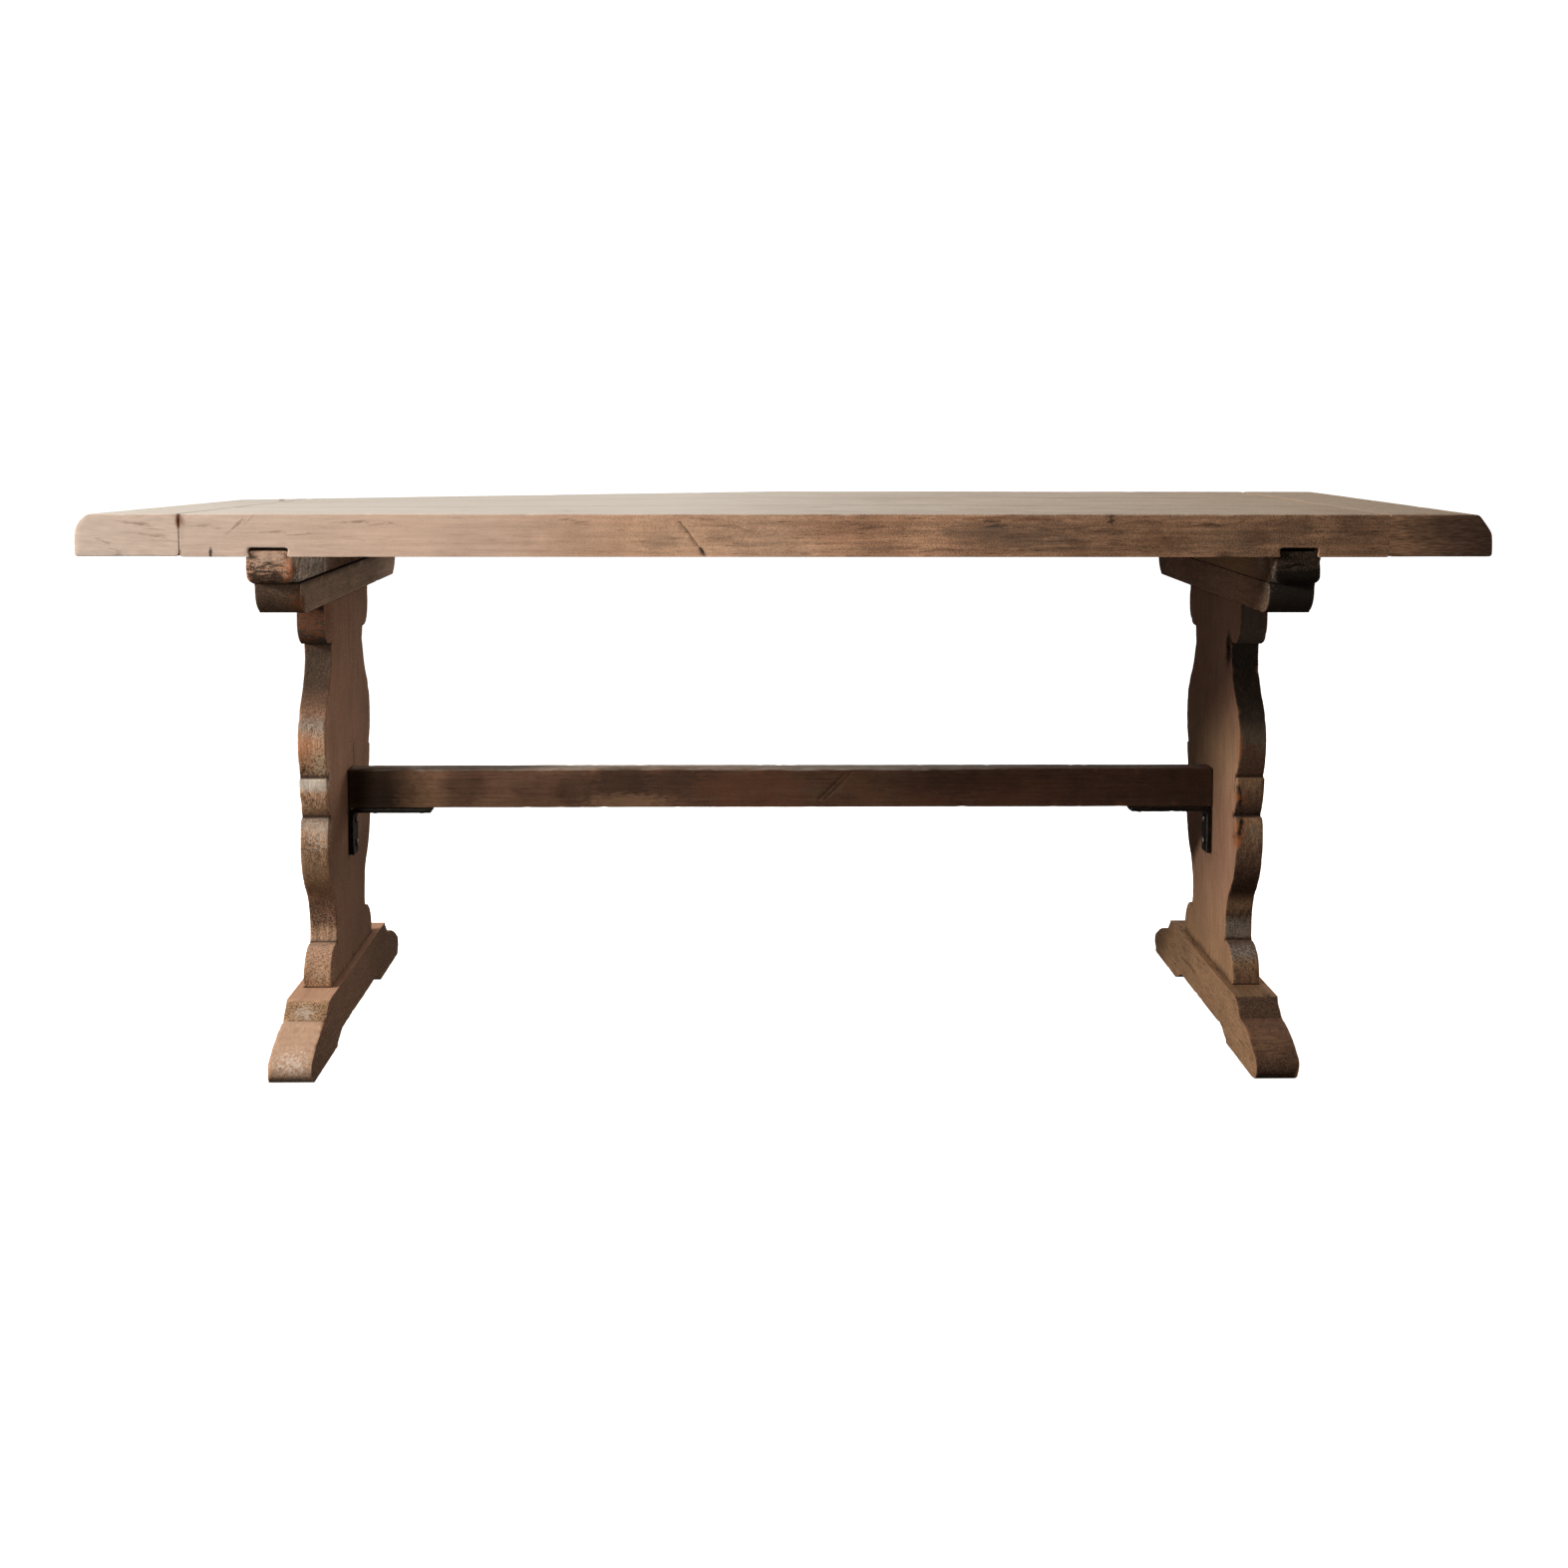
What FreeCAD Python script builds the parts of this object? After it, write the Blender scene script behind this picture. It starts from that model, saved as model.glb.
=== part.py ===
import FreeCAD, Part
import os
import Sketcher

# Trestle dining table, in millimetres. The origin is on the floor under the middle of the top,
# +X runs along the table, +Y towards its back edge and +Z up.
#
# Three thick planks are joined edge to edge by loose splines and tongued into a cross board at
# each end. Two battens slide into dovetail slots under them. Each batten lies on a shaped head
# rail, which a vase-shaped post board joins to a foot. One stretcher ties the two posts, and a
# steel angle bracket under each of its ends stiffens the joint.

SIZES = {
    # top
    "table_height": 755,
    "top_length": 1800,
    "top_width": 800,
    "top_thickness": 55,
    "end_board_width": 133,
    "end_bevel_width": 18,
    "end_bevel_drop": 24,
    "end_corner_round": 5,
    "tongue_length": 32,
    "tongue_thickness": 16,
    "tongue_stop": 45,
    "spline_width": 28,
    "spline_thickness": 10,
    "spline_stop": 70,
    "end_peg_diameter": 12,
    "end_peg_inset": 16,
    "end_peg_cover": 10,
    # sliding dovetail battens
    "batten_width": 60,
    "batten_height": 36,
    "batten_setback": 4,
    "left_batten_shift": 4,
    "batten_end_round": 13,
    "dovetail_mouth": 46,
    "dovetail_flare": 2.5,
    "dovetail_depth": 11,
    "dovetail_headroom": 3,
    # head rails
    "trestle_inset": 248,
    "head_length": 734,
    "head_width": 60,
    "head_height": 41,
    "head_end_drop": 26,
    "head_end_inset": 32,
    "head_end_bulge": 5,
    "dowel_diameter": 16,
    "dowel_spacing": 230,
    "dowel_depth": 24,
    # posts, outline from the shoulder under the head rail down to the foot
    "post_thickness": 40,
    "cap_width": 334,
    "cap_straight": 31,
    "cap_curve_drop": 32,
    "cap_curve_inset": 32,
    "cap_curve_bulge": 6,
    "neck_top_width": 240,
    "neck_width": 234,
    "neck_height": 20,
    "flare_width": 292,
    "flare_height": 54,
    "flare_hollow": 5,
    "belly_width": 350,
    "belly_sag": 3,
    "belly_end_width": 318,
    "bead_width": 336,
    "bead_height": 57,
    "bead_bulge": 5,
    "bead_end_width": 298,
    "hip_top_width": 320,
    "hip_width": 332,
    "hip_over_belly": 5,
    "hip_lift": 8.5,
    "waist_top_width": 256,
    "waist_width": 224,
    "waist_height": 71,
    "waist_rise": 36,
    "base_top_width": 238,
    "base_width": 324,
    "base_curve_height": 40,
    "base_curve_bulge": 8,
    "base_straight": 13,
    # tenons that hold post, head rail and foot together
    "tenon_thickness": 16,
    "tenon_width": 80,
    "tenon_spacing": 172,
    "head_tenon_height": 28,
    "foot_tenon_height": 50,
    "peg_diameter": 10,
    "peg_stop": 12,
    # feet
    "foot_length": 694,
    "foot_width": 60,
    "foot_height": 80,
    "foot_flat": 444,
    "foot_step_run": 26,
    "foot_step_drop": 21,
    "toe_ledge": 4,
    "toe_run": 82,
    "toe_drop": 26,
    "toe_swell": 4,
    "nose_under": 14,
    "nose_height": 10,
    "pad_length": 158,
    "recess_depth": 14,
    "recess_slope": 40,
    # stretcher and its brackets
    "stretcher_level": 336,
    "stretcher_height": 58,
    "stretcher_thickness": 38,
    "stub_length": 20,
    "stub_height": 36,
    "stub_thickness": 22,
    "bracket_drop": 70,
    "bracket_reach": 120,
    "bracket_width": 36,
    "bracket_metal": 8,
    "screw_diameter": 5,
    "screw_length": 26,
    "screw_head_diameter": 11,
    "screw_head_height": 3,
    "screw_edge": 16,
    "screw_pitch": 34,
    # fits: the free space all round a piece in its slot, mortise or hole
    "joint_play": 0.15,
    "peg_play": 0.05,
    "end_play": 0.5,
}

# Places that several pieces share, worked out from the sizes above.
TOP_FACE = "dims.table_height"
UNDERSIDE = "(dims.table_height - dims.top_thickness)"
BATTEN_BOTTOM = f"({UNDERSIDE} - dims.batten_height)"
HEAD_BOTTOM = f"({BATTEN_BOTTOM} - dims.head_height)"
HALF_TOP = "(dims.top_width / 2)"
PLANK_WIDTH = "(dims.top_width / 3)"
PLANK_END = "(dims.top_length / 2 - dims.end_board_width)"
MID_TOP = f"({UNDERSIDE} + dims.top_thickness / 2)"
TRESTLE_X = "(dims.top_length / 2 - dims.trestle_inset)"
BATTEN_SHIFT = {-1: "dims.left_batten_shift", 1: "0"}
POST_FACE = "(dims.post_thickness / 2)"
TENON_Y = "(dims.tenon_spacing / 2)"
STRETCHER_END = f"({TRESTLE_X} - {POST_FACE})"
STRETCHER_BOTTOM = "(dims.stretcher_level - dims.stretcher_height / 2)"
ROUND_SHARE = "(1 - sqrt(0.5))"
PLANK_ROWS = {"front": -1, "middle": 0, "back": 1}
SIDES = {"left": -1, "right": 1}

doc = FreeCAD.newDocument("trestle_table")
sheet = doc.addObject("Spreadsheet::Sheet", "dims")
for row, (alias, size) in enumerate(SIZES.items(), start=1):
    sheet.set(f"A{row}", alias)
    sheet.set(f"B{row}", str(size))
    sheet.setAlias(f"B{row}", alias)
doc.recompute()
nodes = []


# ---------------------------------------------------------------- document helpers

def value(expression):
    """Number that an expression over the sheet gives now."""
    return float(reader.evalExpression(str(expression)))


def bind(target, bindings):
    """Bind properties of an object to expressions over the sheet."""
    for path, expression in bindings.items():
        target.setExpression(path, str(expression))


def keep(node):
    """Count an object among the table's sub-parts."""
    nodes.append(node)
    return node


def start_body(label, across="0", along="0"):
    """Body of one sub-part, placed across X and along Y by expressions."""
    body = doc.addObject("PartDesign::Body", label)
    body.Label = label
    bind(body, {"Placement.Base.x": across, "Placement.Base.y": along})
    return keep(body)


def start_sketch(body, role, lift="0"):
    """Sketch on one of the body's own origin planes, lifted along the plane's normal."""
    drawing = body.newObject("Sketcher::SketchObject", f"{body.Name}_sketch")
    plane = next(part for part in body.Origin.OriginFeatures if part.Role == role)
    drawing.AttachmentSupport = (plane, [""])
    drawing.MapMode = "FlatFace"
    bind(drawing, {"AttachmentOffset.Base.z": lift})
    return drawing


def pin(drawing, geometry, point, across, up):
    """Hold a point of a sketch at two expressions, measured from the sketch's origin."""
    for kind, axis, expression in (("DistanceX", -2, across), ("DistanceY", -1, up)):
        size = value(expression)
        if abs(size) < 1e-9:
            drawing.addConstraint(Sketcher.Constraint("PointOnObject", geometry, point, axis))
            continue
        ends = (-1, 1, geometry, point) if size > 0 else (geometry, point, -1, 1)
        index = drawing.addConstraint(Sketcher.Constraint(kind, *ends, abs(size)))
        sign = "" if size > 0 else "-"
        drawing.setExpression(f"Constraints[{index}]", f"{sign}({expression})")


def arc_through(first, via, last):
    """Arc from three points, and whether it runs clockwise from the first to the last."""
    turn = (via - first).cross(last - via).z
    ends = (first, last) if turn > 0 else (last, first)
    return Part.Arc(ends[0], via, ends[1]), turn < 0


def draw_outline(drawing, corners):
    """Closed outline. A corner is (x, y), or (x, y, (x, y)) where an arc through the second
    point leads on to the next corner. All of them are expressions."""
    where = [FreeCAD.Vector(value(corner[0]), value(corner[1]), 0) for corner in corners]
    starts, ends = [], []
    for index, corner in enumerate(corners):
        first, last = where[index], where[(index + 1) % len(corners)]
        if len(corner) == 2:
            geometry = drawing.addGeometry(Part.LineSegment(first, last))
            backwards = False
        else:
            via = FreeCAD.Vector(value(corner[2][0]), value(corner[2][1]), 0)
            arc, backwards = arc_through(first, via, last)
            geometry = drawing.addGeometry(arc)
            mark = drawing.addGeometry(Part.Point(via), True)
            pin(drawing, mark, 1, *corner[2])
            drawing.addConstraint(Sketcher.Constraint("PointOnObject", mark, 1, geometry))
        starts.append((geometry, 2 if backwards else 1))
        ends.append((geometry, 1 if backwards else 2))
    for index, corner in enumerate(corners):
        drawing.addConstraint(Sketcher.Constraint("Coincident", *ends[index - 1], *starts[index]))
        pin(drawing, *starts[index], corner[0], corner[1])


def draw_rectangle(drawing, left, right, bottom, top):
    draw_outline(drawing, [(left, bottom), (left, top), (right, top), (right, bottom)])


def draw_circle(drawing, across, up, diameter):
    centre = FreeCAD.Vector(value(across), value(up), 0)
    circle = Part.Circle(centre, FreeCAD.Vector(0, 0, 1), value(diameter) / 2)
    geometry = drawing.addGeometry(circle)
    pin(drawing, geometry, 3, across, up)
    index = drawing.addConstraint(Sketcher.Constraint("Diameter", geometry, value(diameter)))
    drawing.setExpression(f"Constraints[{index}]", diameter)


def mirrored(half):
    """Whole outline from its right half, which is listed from the top down."""
    whole = list(half)
    for index in range(len(half) - 1, -1, -1):
        corner = (f"-({half[index][0]})", half[index][1])
        leads_up = half[index - 1] if index else ()
        if len(leads_up) == 3:
            via = leads_up[2]
            corner += ((f"-({via[0]})", via[1]),)
        whole.append(corner)
    return whole


def midway(first, last, out="0", up="0"):
    """Point halfway between two corners, moved out and up by expressions."""
    return (f"({first[0]} + {last[0]}) / 2 + {out}", f"({first[1]} + {last[1]}) / 2 + {up}")


def quarter_round(outer, lower, radius):
    """Middle of the quarter circle that rounds a lower outer corner."""
    return (f"{outer} - {ROUND_SHARE} * {radius}", f"{lower} + {ROUND_SHARE} * {radius}")


def extrude(body, kind, drawing, length, symmetric=True, upwards=True):
    """Pad or Pocket of a drawn outline. It stops when the feature changed nothing."""
    before = body.Shape.Volume if body.Tip else 0.0
    feature = body.newObject(f"PartDesign::{kind}", f"{body.Name}_{kind.lower()}")
    feature.Profile = drawing
    feature.SideType = "Symmetric" if symmetric else "One side"
    feature.Reversed = upwards == (kind == "Pocket") and not symmetric
    bind(feature, {"Length": length})
    drawing.Visibility = False
    doc.recompute()
    change = body.Shape.Volume - before
    if (change > 0) != (kind == "Pad") or abs(change) < 1.0:
        raise RuntimeError(f"{feature.Name} changed the volume of {body.Label} by {change}")
    return feature


def pad(body, drawing, length, **options):
    return extrude(body, "Pad", drawing, length, **options)


def pocket(body, drawing, length, **options):
    return extrude(body, "Pocket", drawing, length, **options)


def group(label, solids):
    """One sub-part that is a group of separate equal solids."""
    compound = doc.addObject("Part::Compound", label)
    compound.Label = label
    compound.Links = solids
    return keep(compound)


def rod(name, diameter, length, centre, turn=None):
    """Cylinder that starts at a point and runs up, or along the turned direction."""
    cylinder = doc.addObject("Part::Cylinder", name)
    if turn:
        cylinder.Placement.Rotation = turn
    bind(cylinder, {"Radius": f"({diameter}) / 2", "Height": length,
                    "Placement.Base.x": centre[0], "Placement.Base.y": centre[1],
                    "Placement.Base.z": centre[2]})
    return cylinder


ALONG_X = FreeCAD.Rotation(FreeCAD.Vector(0, 1, 0), 90)
AGAINST_X = FreeCAD.Rotation(FreeCAD.Vector(0, 1, 0), -90)
reader = doc.addObject("App::FeaturePython", "expression_reader")
PEG_HOLE = "(dims.peg_diameter + 2 * dims.peg_play)"
END_PEG_HOLE = "(dims.end_peg_diameter + 2 * dims.peg_play)"
DOWEL_HOLE = "(dims.dowel_diameter + 2 * dims.peg_play)"
SCREW_HOLE = "(dims.screw_diameter + 2 * dims.peg_play)"


# ---------------------------------------------------------------- the top

DOVETAIL_WIDE = "(dims.dovetail_mouth / 2 + dims.dovetail_flare)"
DOVETAIL_TOP = f"({UNDERSIDE} + dims.dovetail_depth)"
END_PEG_X = f"({PLANK_END} + dims.end_peg_inset)"
END_PEG_TOP = f"({TOP_FACE} - dims.end_peg_cover)"


def dovetail_outline(centre, play="0", headroom="0"):
    """Section of a dovetail slot, or with play and headroom of the tongue that fits it."""
    mouth = f"(dims.dovetail_mouth / 2 - {play})"
    wide = f"({DOVETAIL_WIDE} - {play})"
    top = f"({DOVETAIL_TOP} - {headroom})"
    return [(f"{centre} - {mouth}", UNDERSIDE), (f"{centre} - {wide}", top),
            (f"{centre} + {wide}", top), (f"{centre} + {mouth}", UNDERSIDE)]


def plank(name, row):
    """Plank with a tongue on each end, spline grooves and two dovetail slots."""
    middle = f"({row} * {PLANK_WIDTH})"
    half = f"({PLANK_WIDTH} / 2)"
    body = start_body(f"top_plank_{name}", along=middle)
    board = start_sketch(body, "XY_Plane", UNDERSIDE)
    draw_rectangle(board, f"-{PLANK_END}", PLANK_END, f"-{half}", half)
    pad(body, board, "dims.top_thickness", symmetric=False)
    for side in SIDES.values():
        tongue = start_sketch(body, "XY_Plane", f"{MID_TOP} - dims.tongue_thickness / 2")
        near = f"-{half} + dims.tongue_stop" if row < 0 else f"-{half}"
        far = f"{half} - dims.tongue_stop" if row > 0 else half
        draw_rectangle(tongue, f"{side} * {PLANK_END}",
                       f"{side} * ({PLANK_END} + dims.tongue_length)", near, far)
        pad(body, tongue, "dims.tongue_thickness", symmetric=False)
        hole = start_sketch(body, "XY_Plane", MID_TOP)
        draw_circle(hole, f"{side} * {END_PEG_X}", "0", END_PEG_HOLE)
        pocket(body, hole, "dims.top_thickness")
        slot = start_sketch(body, "XZ_Plane")
        draw_outline(slot, dovetail_outline(f"{side} * ({TRESTLE_X} + {BATTEN_SHIFT[side]})"))
        pocket(body, slot, "2 * dims.top_width")
    for edge in (-1, 1):
        if edge == row:
            continue
        groove = start_sketch(body, "XY_Plane", MID_TOP)
        reach = f"({PLANK_END} - dims.spline_stop + dims.joint_play)"
        draw_rectangle(groove, f"-{reach}", reach, f"{edge} * {half}",
                       f"{edge} * ({half} - dims.spline_width / 2 - dims.joint_play)")
        pocket(body, groove, "dims.spline_thickness + 2 * dims.joint_play")


def plank_spline(name, side):
    """Loose strip in the grooves of two neighbouring planks."""
    strip = doc.addObject("Part::Box", f"plank_spline_{name}")
    reach = f"({PLANK_END} - dims.spline_stop)"
    bind(strip, {"Length": f"2 * {reach}", "Width": "dims.spline_width",
                 "Height": "dims.spline_thickness", "Placement.Base.x": f"-{reach}",
                 "Placement.Base.y": f"{side} * {PLANK_WIDTH} / 2 - dims.spline_width / 2",
                 "Placement.Base.z": f"{MID_TOP} - dims.spline_thickness / 2"})
    keep(strip)


def end_board(name, side):
    """Cross board that holds the planks' tongues, bevelled along its outer arris."""
    outer = "(dims.top_length / 2)"
    body = start_body(f"end_board_{name}")
    section = start_sketch(body, "XZ_Plane")
    curve = "dims.end_corner_round"
    corners = [(PLANK_END, TOP_FACE),
               (f"{outer} - dims.end_bevel_width", TOP_FACE),
               (outer, f"{TOP_FACE} - dims.end_bevel_drop"),
               (outer, f"{UNDERSIDE} + {curve}", quarter_round(outer, UNDERSIDE, curve)),
               (f"{outer} - {curve}", UNDERSIDE),
               (PLANK_END, UNDERSIDE)]
    draw_outline(section, [sided(corner, side) for corner in corners])
    pad(body, section, "dims.top_width")
    groove = start_sketch(body, "XZ_Plane")
    half = "(dims.tongue_thickness / 2 + dims.joint_play)"
    draw_rectangle(groove, f"{side} * {PLANK_END}",
                   f"{side} * ({PLANK_END} + dims.tongue_length + dims.joint_play)",
                   f"{MID_TOP} - {half}", f"{MID_TOP} + {half}")
    pocket(body, groove, "dims.top_width - 2 * (dims.tongue_stop - dims.joint_play)")
    for row in PLANK_ROWS.values():
        hole = start_sketch(body, "XY_Plane", UNDERSIDE)
        draw_circle(hole, f"{side} * {END_PEG_X}", f"{row} * {PLANK_WIDTH}", END_PEG_HOLE)
        pocket(body, hole, f"{END_PEG_TOP} + dims.end_play - {UNDERSIDE}", symmetric=False)


def sided(corner, side):
    """Corner of an outline on the right half, taken to the given side."""
    moved = (f"{side} * ({corner[0]})", corner[1])
    if len(corner) == 3:
        moved += ((f"{side} * ({corner[2][0]})", corner[2][1]),)
    return moved


def end_board_pegs(name, side):
    """Blind pegs driven from below through the planks' tongues."""
    pegs = [rod(f"end_peg_{name}_{place}", "dims.end_peg_diameter", f"{END_PEG_TOP} - {UNDERSIDE}",
                (f"{side} * {END_PEG_X}", f"{row} * {PLANK_WIDTH}", UNDERSIDE))
            for place, row in PLANK_ROWS.items()]
    group(f"end_board_pegs_{name}", pegs)


# ---------------------------------------------------------------- the trestles

DOWEL_ROWS = (-1, 0, 1)


def batten(name, side):
    """Bearer that slides into the dovetail slots, with a rounded lower end."""
    body = start_body(f"batten_{name}", across=f"{side} * ({TRESTLE_X} + {BATTEN_SHIFT[side]})")
    end = f"({HALF_TOP} - dims.batten_setback)"
    curve = "dims.batten_end_round"
    half = [(end, UNDERSIDE),
            (end, f"{BATTEN_BOTTOM} + {curve}", quarter_round(end, BATTEN_BOTTOM, curve)),
            (f"{end} - {curve}", BATTEN_BOTTOM)]
    profile = start_sketch(body, "YZ_Plane")
    draw_outline(profile, mirrored(half))
    pad(body, profile, "dims.batten_width")
    tongue = start_sketch(body, "XZ_Plane")
    draw_outline(tongue, dovetail_outline("0", "dims.joint_play", "dims.dovetail_headroom"))
    pad(body, tongue, f"2 * {end}")
    dowel_holes(body, BATTEN_BOTTOM, f"{-side} * {BATTEN_SHIFT[side]}", upwards=True)


def dowel_holes(body, level, across, upwards):
    """Blind holes for the dowels that come down on the middle of the head rail."""
    for row in DOWEL_ROWS:
        hole = start_sketch(body, "XY_Plane", level)
        draw_circle(hole, across, f"{row} * dims.dowel_spacing", DOWEL_HOLE)
        pocket(body, hole, "dims.dowel_depth + dims.end_play", symmetric=False, upwards=upwards)


def batten_dowels(name, side):
    """Hidden dowels between a batten and its head rail."""
    dowels = [rod(f"dowel_{name}_{place}", "dims.dowel_diameter", "2 * dims.dowel_depth",
                  (f"{side} * {TRESTLE_X}", f"{row} * dims.dowel_spacing",
                   f"{BATTEN_BOTTOM} - dims.dowel_depth"))
              for place, row in PLANK_ROWS.items()]
    group(f"batten_dowels_{name}", dowels)


def tenon_mortises(body, level, depth, upwards):
    """Blind mortises for the two tenons on an end of a post."""
    thick = "(dims.tenon_thickness / 2 + dims.joint_play)"
    wide = "(dims.tenon_width / 2 + dims.joint_play)"
    for row in (-1, 1):
        mortise = start_sketch(body, "XY_Plane", level)
        centre = f"{row} * {TENON_Y}"
        draw_rectangle(mortise, f"-{thick}", thick, f"{centre} - {wide}", f"{centre} + {wide}")
        pocket(body, mortise, f"{depth} + dims.end_play", symmetric=False, upwards=upwards)


def peg_holes(body, side, outer_face, level):
    """Blind holes from the outer face through the tenons."""
    for row in (-1, 1):
        hole = start_sketch(body, "YZ_Plane", f"{side} * {outer_face}")
        draw_circle(hole, f"{row} * {TENON_Y}", level, PEG_HOLE)
        pocket(body, hole, f"2 * {outer_face} - dims.peg_stop + dims.end_play",
               symmetric=False, upwards=side < 0)


def pegs(label, side, outer_face, level):
    """Pegs that end flush with the outer face."""
    turn = ALONG_X if side < 0 else AGAINST_X
    pair = [rod(f"{label}_{place}", "dims.peg_diameter", f"2 * {outer_face} - dims.peg_stop",
                (f"{side} * ({TRESTLE_X} + {outer_face})", f"{row} * {TENON_Y}", level), turn)
            for place, row in (("front", -1), ("back", 1))]
    group(label, pair)


HEAD_PEG_LEVEL = f"({HEAD_BOTTOM} + dims.head_tenon_height / 2)"
FOOT_PEG_LEVEL = "(dims.foot_height - dims.foot_tenon_height / 2)"
HEAD_FACE = "(dims.head_width / 2)"
FOOT_FACE = "(dims.foot_width / 2)"


def head_rail(name, side):
    """Rail on top of a post, with undercut rounded ends."""
    body = start_body(f"head_rail_{name}", across=f"{side} * {TRESTLE_X}")
    shoulder = ("dims.head_length / 2", f"{HEAD_BOTTOM} + dims.head_end_drop")
    underside = (f"{shoulder[0]} - dims.head_end_inset", HEAD_BOTTOM)
    bulge = "dims.head_end_bulge"
    half = [("dims.head_length / 2", BATTEN_BOTTOM),
            shoulder + (midway(shoulder, underside, bulge, f"-{bulge}"),),
            underside]
    profile = start_sketch(body, "YZ_Plane")
    draw_outline(profile, mirrored(half))
    pad(body, profile, "dims.head_width")
    dowel_holes(body, BATTEN_BOTTOM, "0", upwards=False)
    tenon_mortises(body, HEAD_BOTTOM, "dims.head_tenon_height", upwards=True)
    peg_holes(body, side, HEAD_FACE, HEAD_PEG_LEVEL)


def post_outline():
    """Right half of the vase-shaped board, from the shoulder under the head rail down. The
    belly and the hip share the height that the other members leave. Their widest points lie
    a little below and above the middle of the two."""
    cap = ("dims.cap_width / 2", f"{HEAD_BOTTOM} - dims.cap_straight")
    cap_end = (f"{cap[0]} - dims.cap_curve_inset", f"{cap[1]} - dims.cap_curve_drop")
    neck_top = ("dims.neck_top_width / 2", cap_end[1])
    neck = ("dims.neck_width / 2", f"{neck_top[1]} - dims.neck_height")
    flare = ("dims.flare_width / 2", f"{neck[1]} - dims.flare_height")
    base_foot = ("dims.base_width / 2", "dims.foot_height")
    base = (base_foot[0], f"{base_foot[1]} + dims.base_straight")
    base_top = ("dims.base_top_width / 2", f"{base[1]} + dims.base_curve_height")
    waist_end = ("dims.waist_width / 2", base_top[1])
    waist_top = ("dims.waist_top_width / 2", f"{waist_end[1]} + dims.waist_height")
    waist_via = ("dims.waist_width / 2", f"{waist_end[1]} + dims.waist_rise")
    left_over = f"({flare[1]} - dims.bead_height - ({waist_top[1]}))"
    hip_height = f"({left_over} + dims.hip_over_belly) / 2"
    hip_top = ("dims.hip_top_width / 2", f"{waist_top[1]} + {hip_height}")
    hip_via = ("dims.hip_width / 2", f"{waist_top[1]} + {hip_height} / 2 + dims.hip_lift")
    bead_end = ("dims.bead_end_width / 2", hip_top[1])
    bead = ("dims.bead_width / 2", f"{bead_end[1]} + dims.bead_height")
    belly_end = ("dims.belly_end_width / 2", bead[1])
    belly_via = ("dims.belly_width / 2", f"({flare[1]} + {belly_end[1]}) / 2 - dims.belly_sag")
    return [("dims.cap_width / 2", HEAD_BOTTOM),
            cap + (midway(cap, cap_end, "dims.cap_curve_bulge", "-dims.cap_curve_bulge"),),
            cap_end,
            neck_top,
            neck + (midway(neck, flare, "-dims.flare_hollow"),),
            flare + (belly_via,),
            belly_end,
            bead + (midway(bead, bead_end, "dims.bead_bulge"),),
            bead_end,
            hip_top + (hip_via,),
            waist_top + (waist_via,),
            waist_end,
            base_top + (midway(base_top, base, "dims.base_curve_bulge", "dims.base_curve_bulge"),),
            base,
            base_foot]


def post(name, side):
    """Post board with two tenons at each end, a stub mortise and the bracket's screw holes."""
    body = start_body(f"post_{name}", across=f"{side} * {TRESTLE_X}")
    profile = start_sketch(body, "YZ_Plane")
    draw_outline(profile, mirrored(post_outline()))
    pad(body, profile, "dims.post_thickness")
    thick, wide = "(dims.tenon_thickness / 2)", "(dims.tenon_width / 2)"
    for level, height, upwards in ((HEAD_BOTTOM, "dims.head_tenon_height", True),
                                   ("dims.foot_height", "dims.foot_tenon_height", False)):
        for row in (-1, 1):
            tenon = start_sketch(body, "XY_Plane", level)
            centre = f"{row} * {TENON_Y}"
            draw_rectangle(tenon, f"-{thick}", thick, f"{centre} - {wide}", f"{centre} + {wide}")
            pad(body, tenon, height, symmetric=False, upwards=upwards)
    for level in (HEAD_PEG_LEVEL, FOOT_PEG_LEVEL):
        for row in (-1, 1):
            hole = start_sketch(body, "YZ_Plane")
            draw_circle(hole, f"{row} * {TENON_Y}", level, PEG_HOLE)
            pocket(body, hole, "2 * dims.tenon_thickness")
    inner = f"{-side} * {POST_FACE}"
    mortise = start_sketch(body, "YZ_Plane", inner)
    across = "(dims.stub_thickness / 2 + dims.joint_play)"
    rise = "(dims.stub_height / 2 + dims.joint_play)"
    draw_rectangle(mortise, f"-{across}", across,
                   f"dims.stretcher_level - {rise}", f"dims.stretcher_level + {rise}")
    pocket(body, mortise, "dims.stub_length + dims.end_play", symmetric=False, upwards=side > 0)
    for step in range(2):
        hole = start_sketch(body, "YZ_Plane", inner)
        draw_circle(hole, "0", drop_screw_level(step), SCREW_HOLE)
        pocket(body, hole, f"{SCREW_GRIP} + dims.end_play", symmetric=False, upwards=side > 0)


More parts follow.
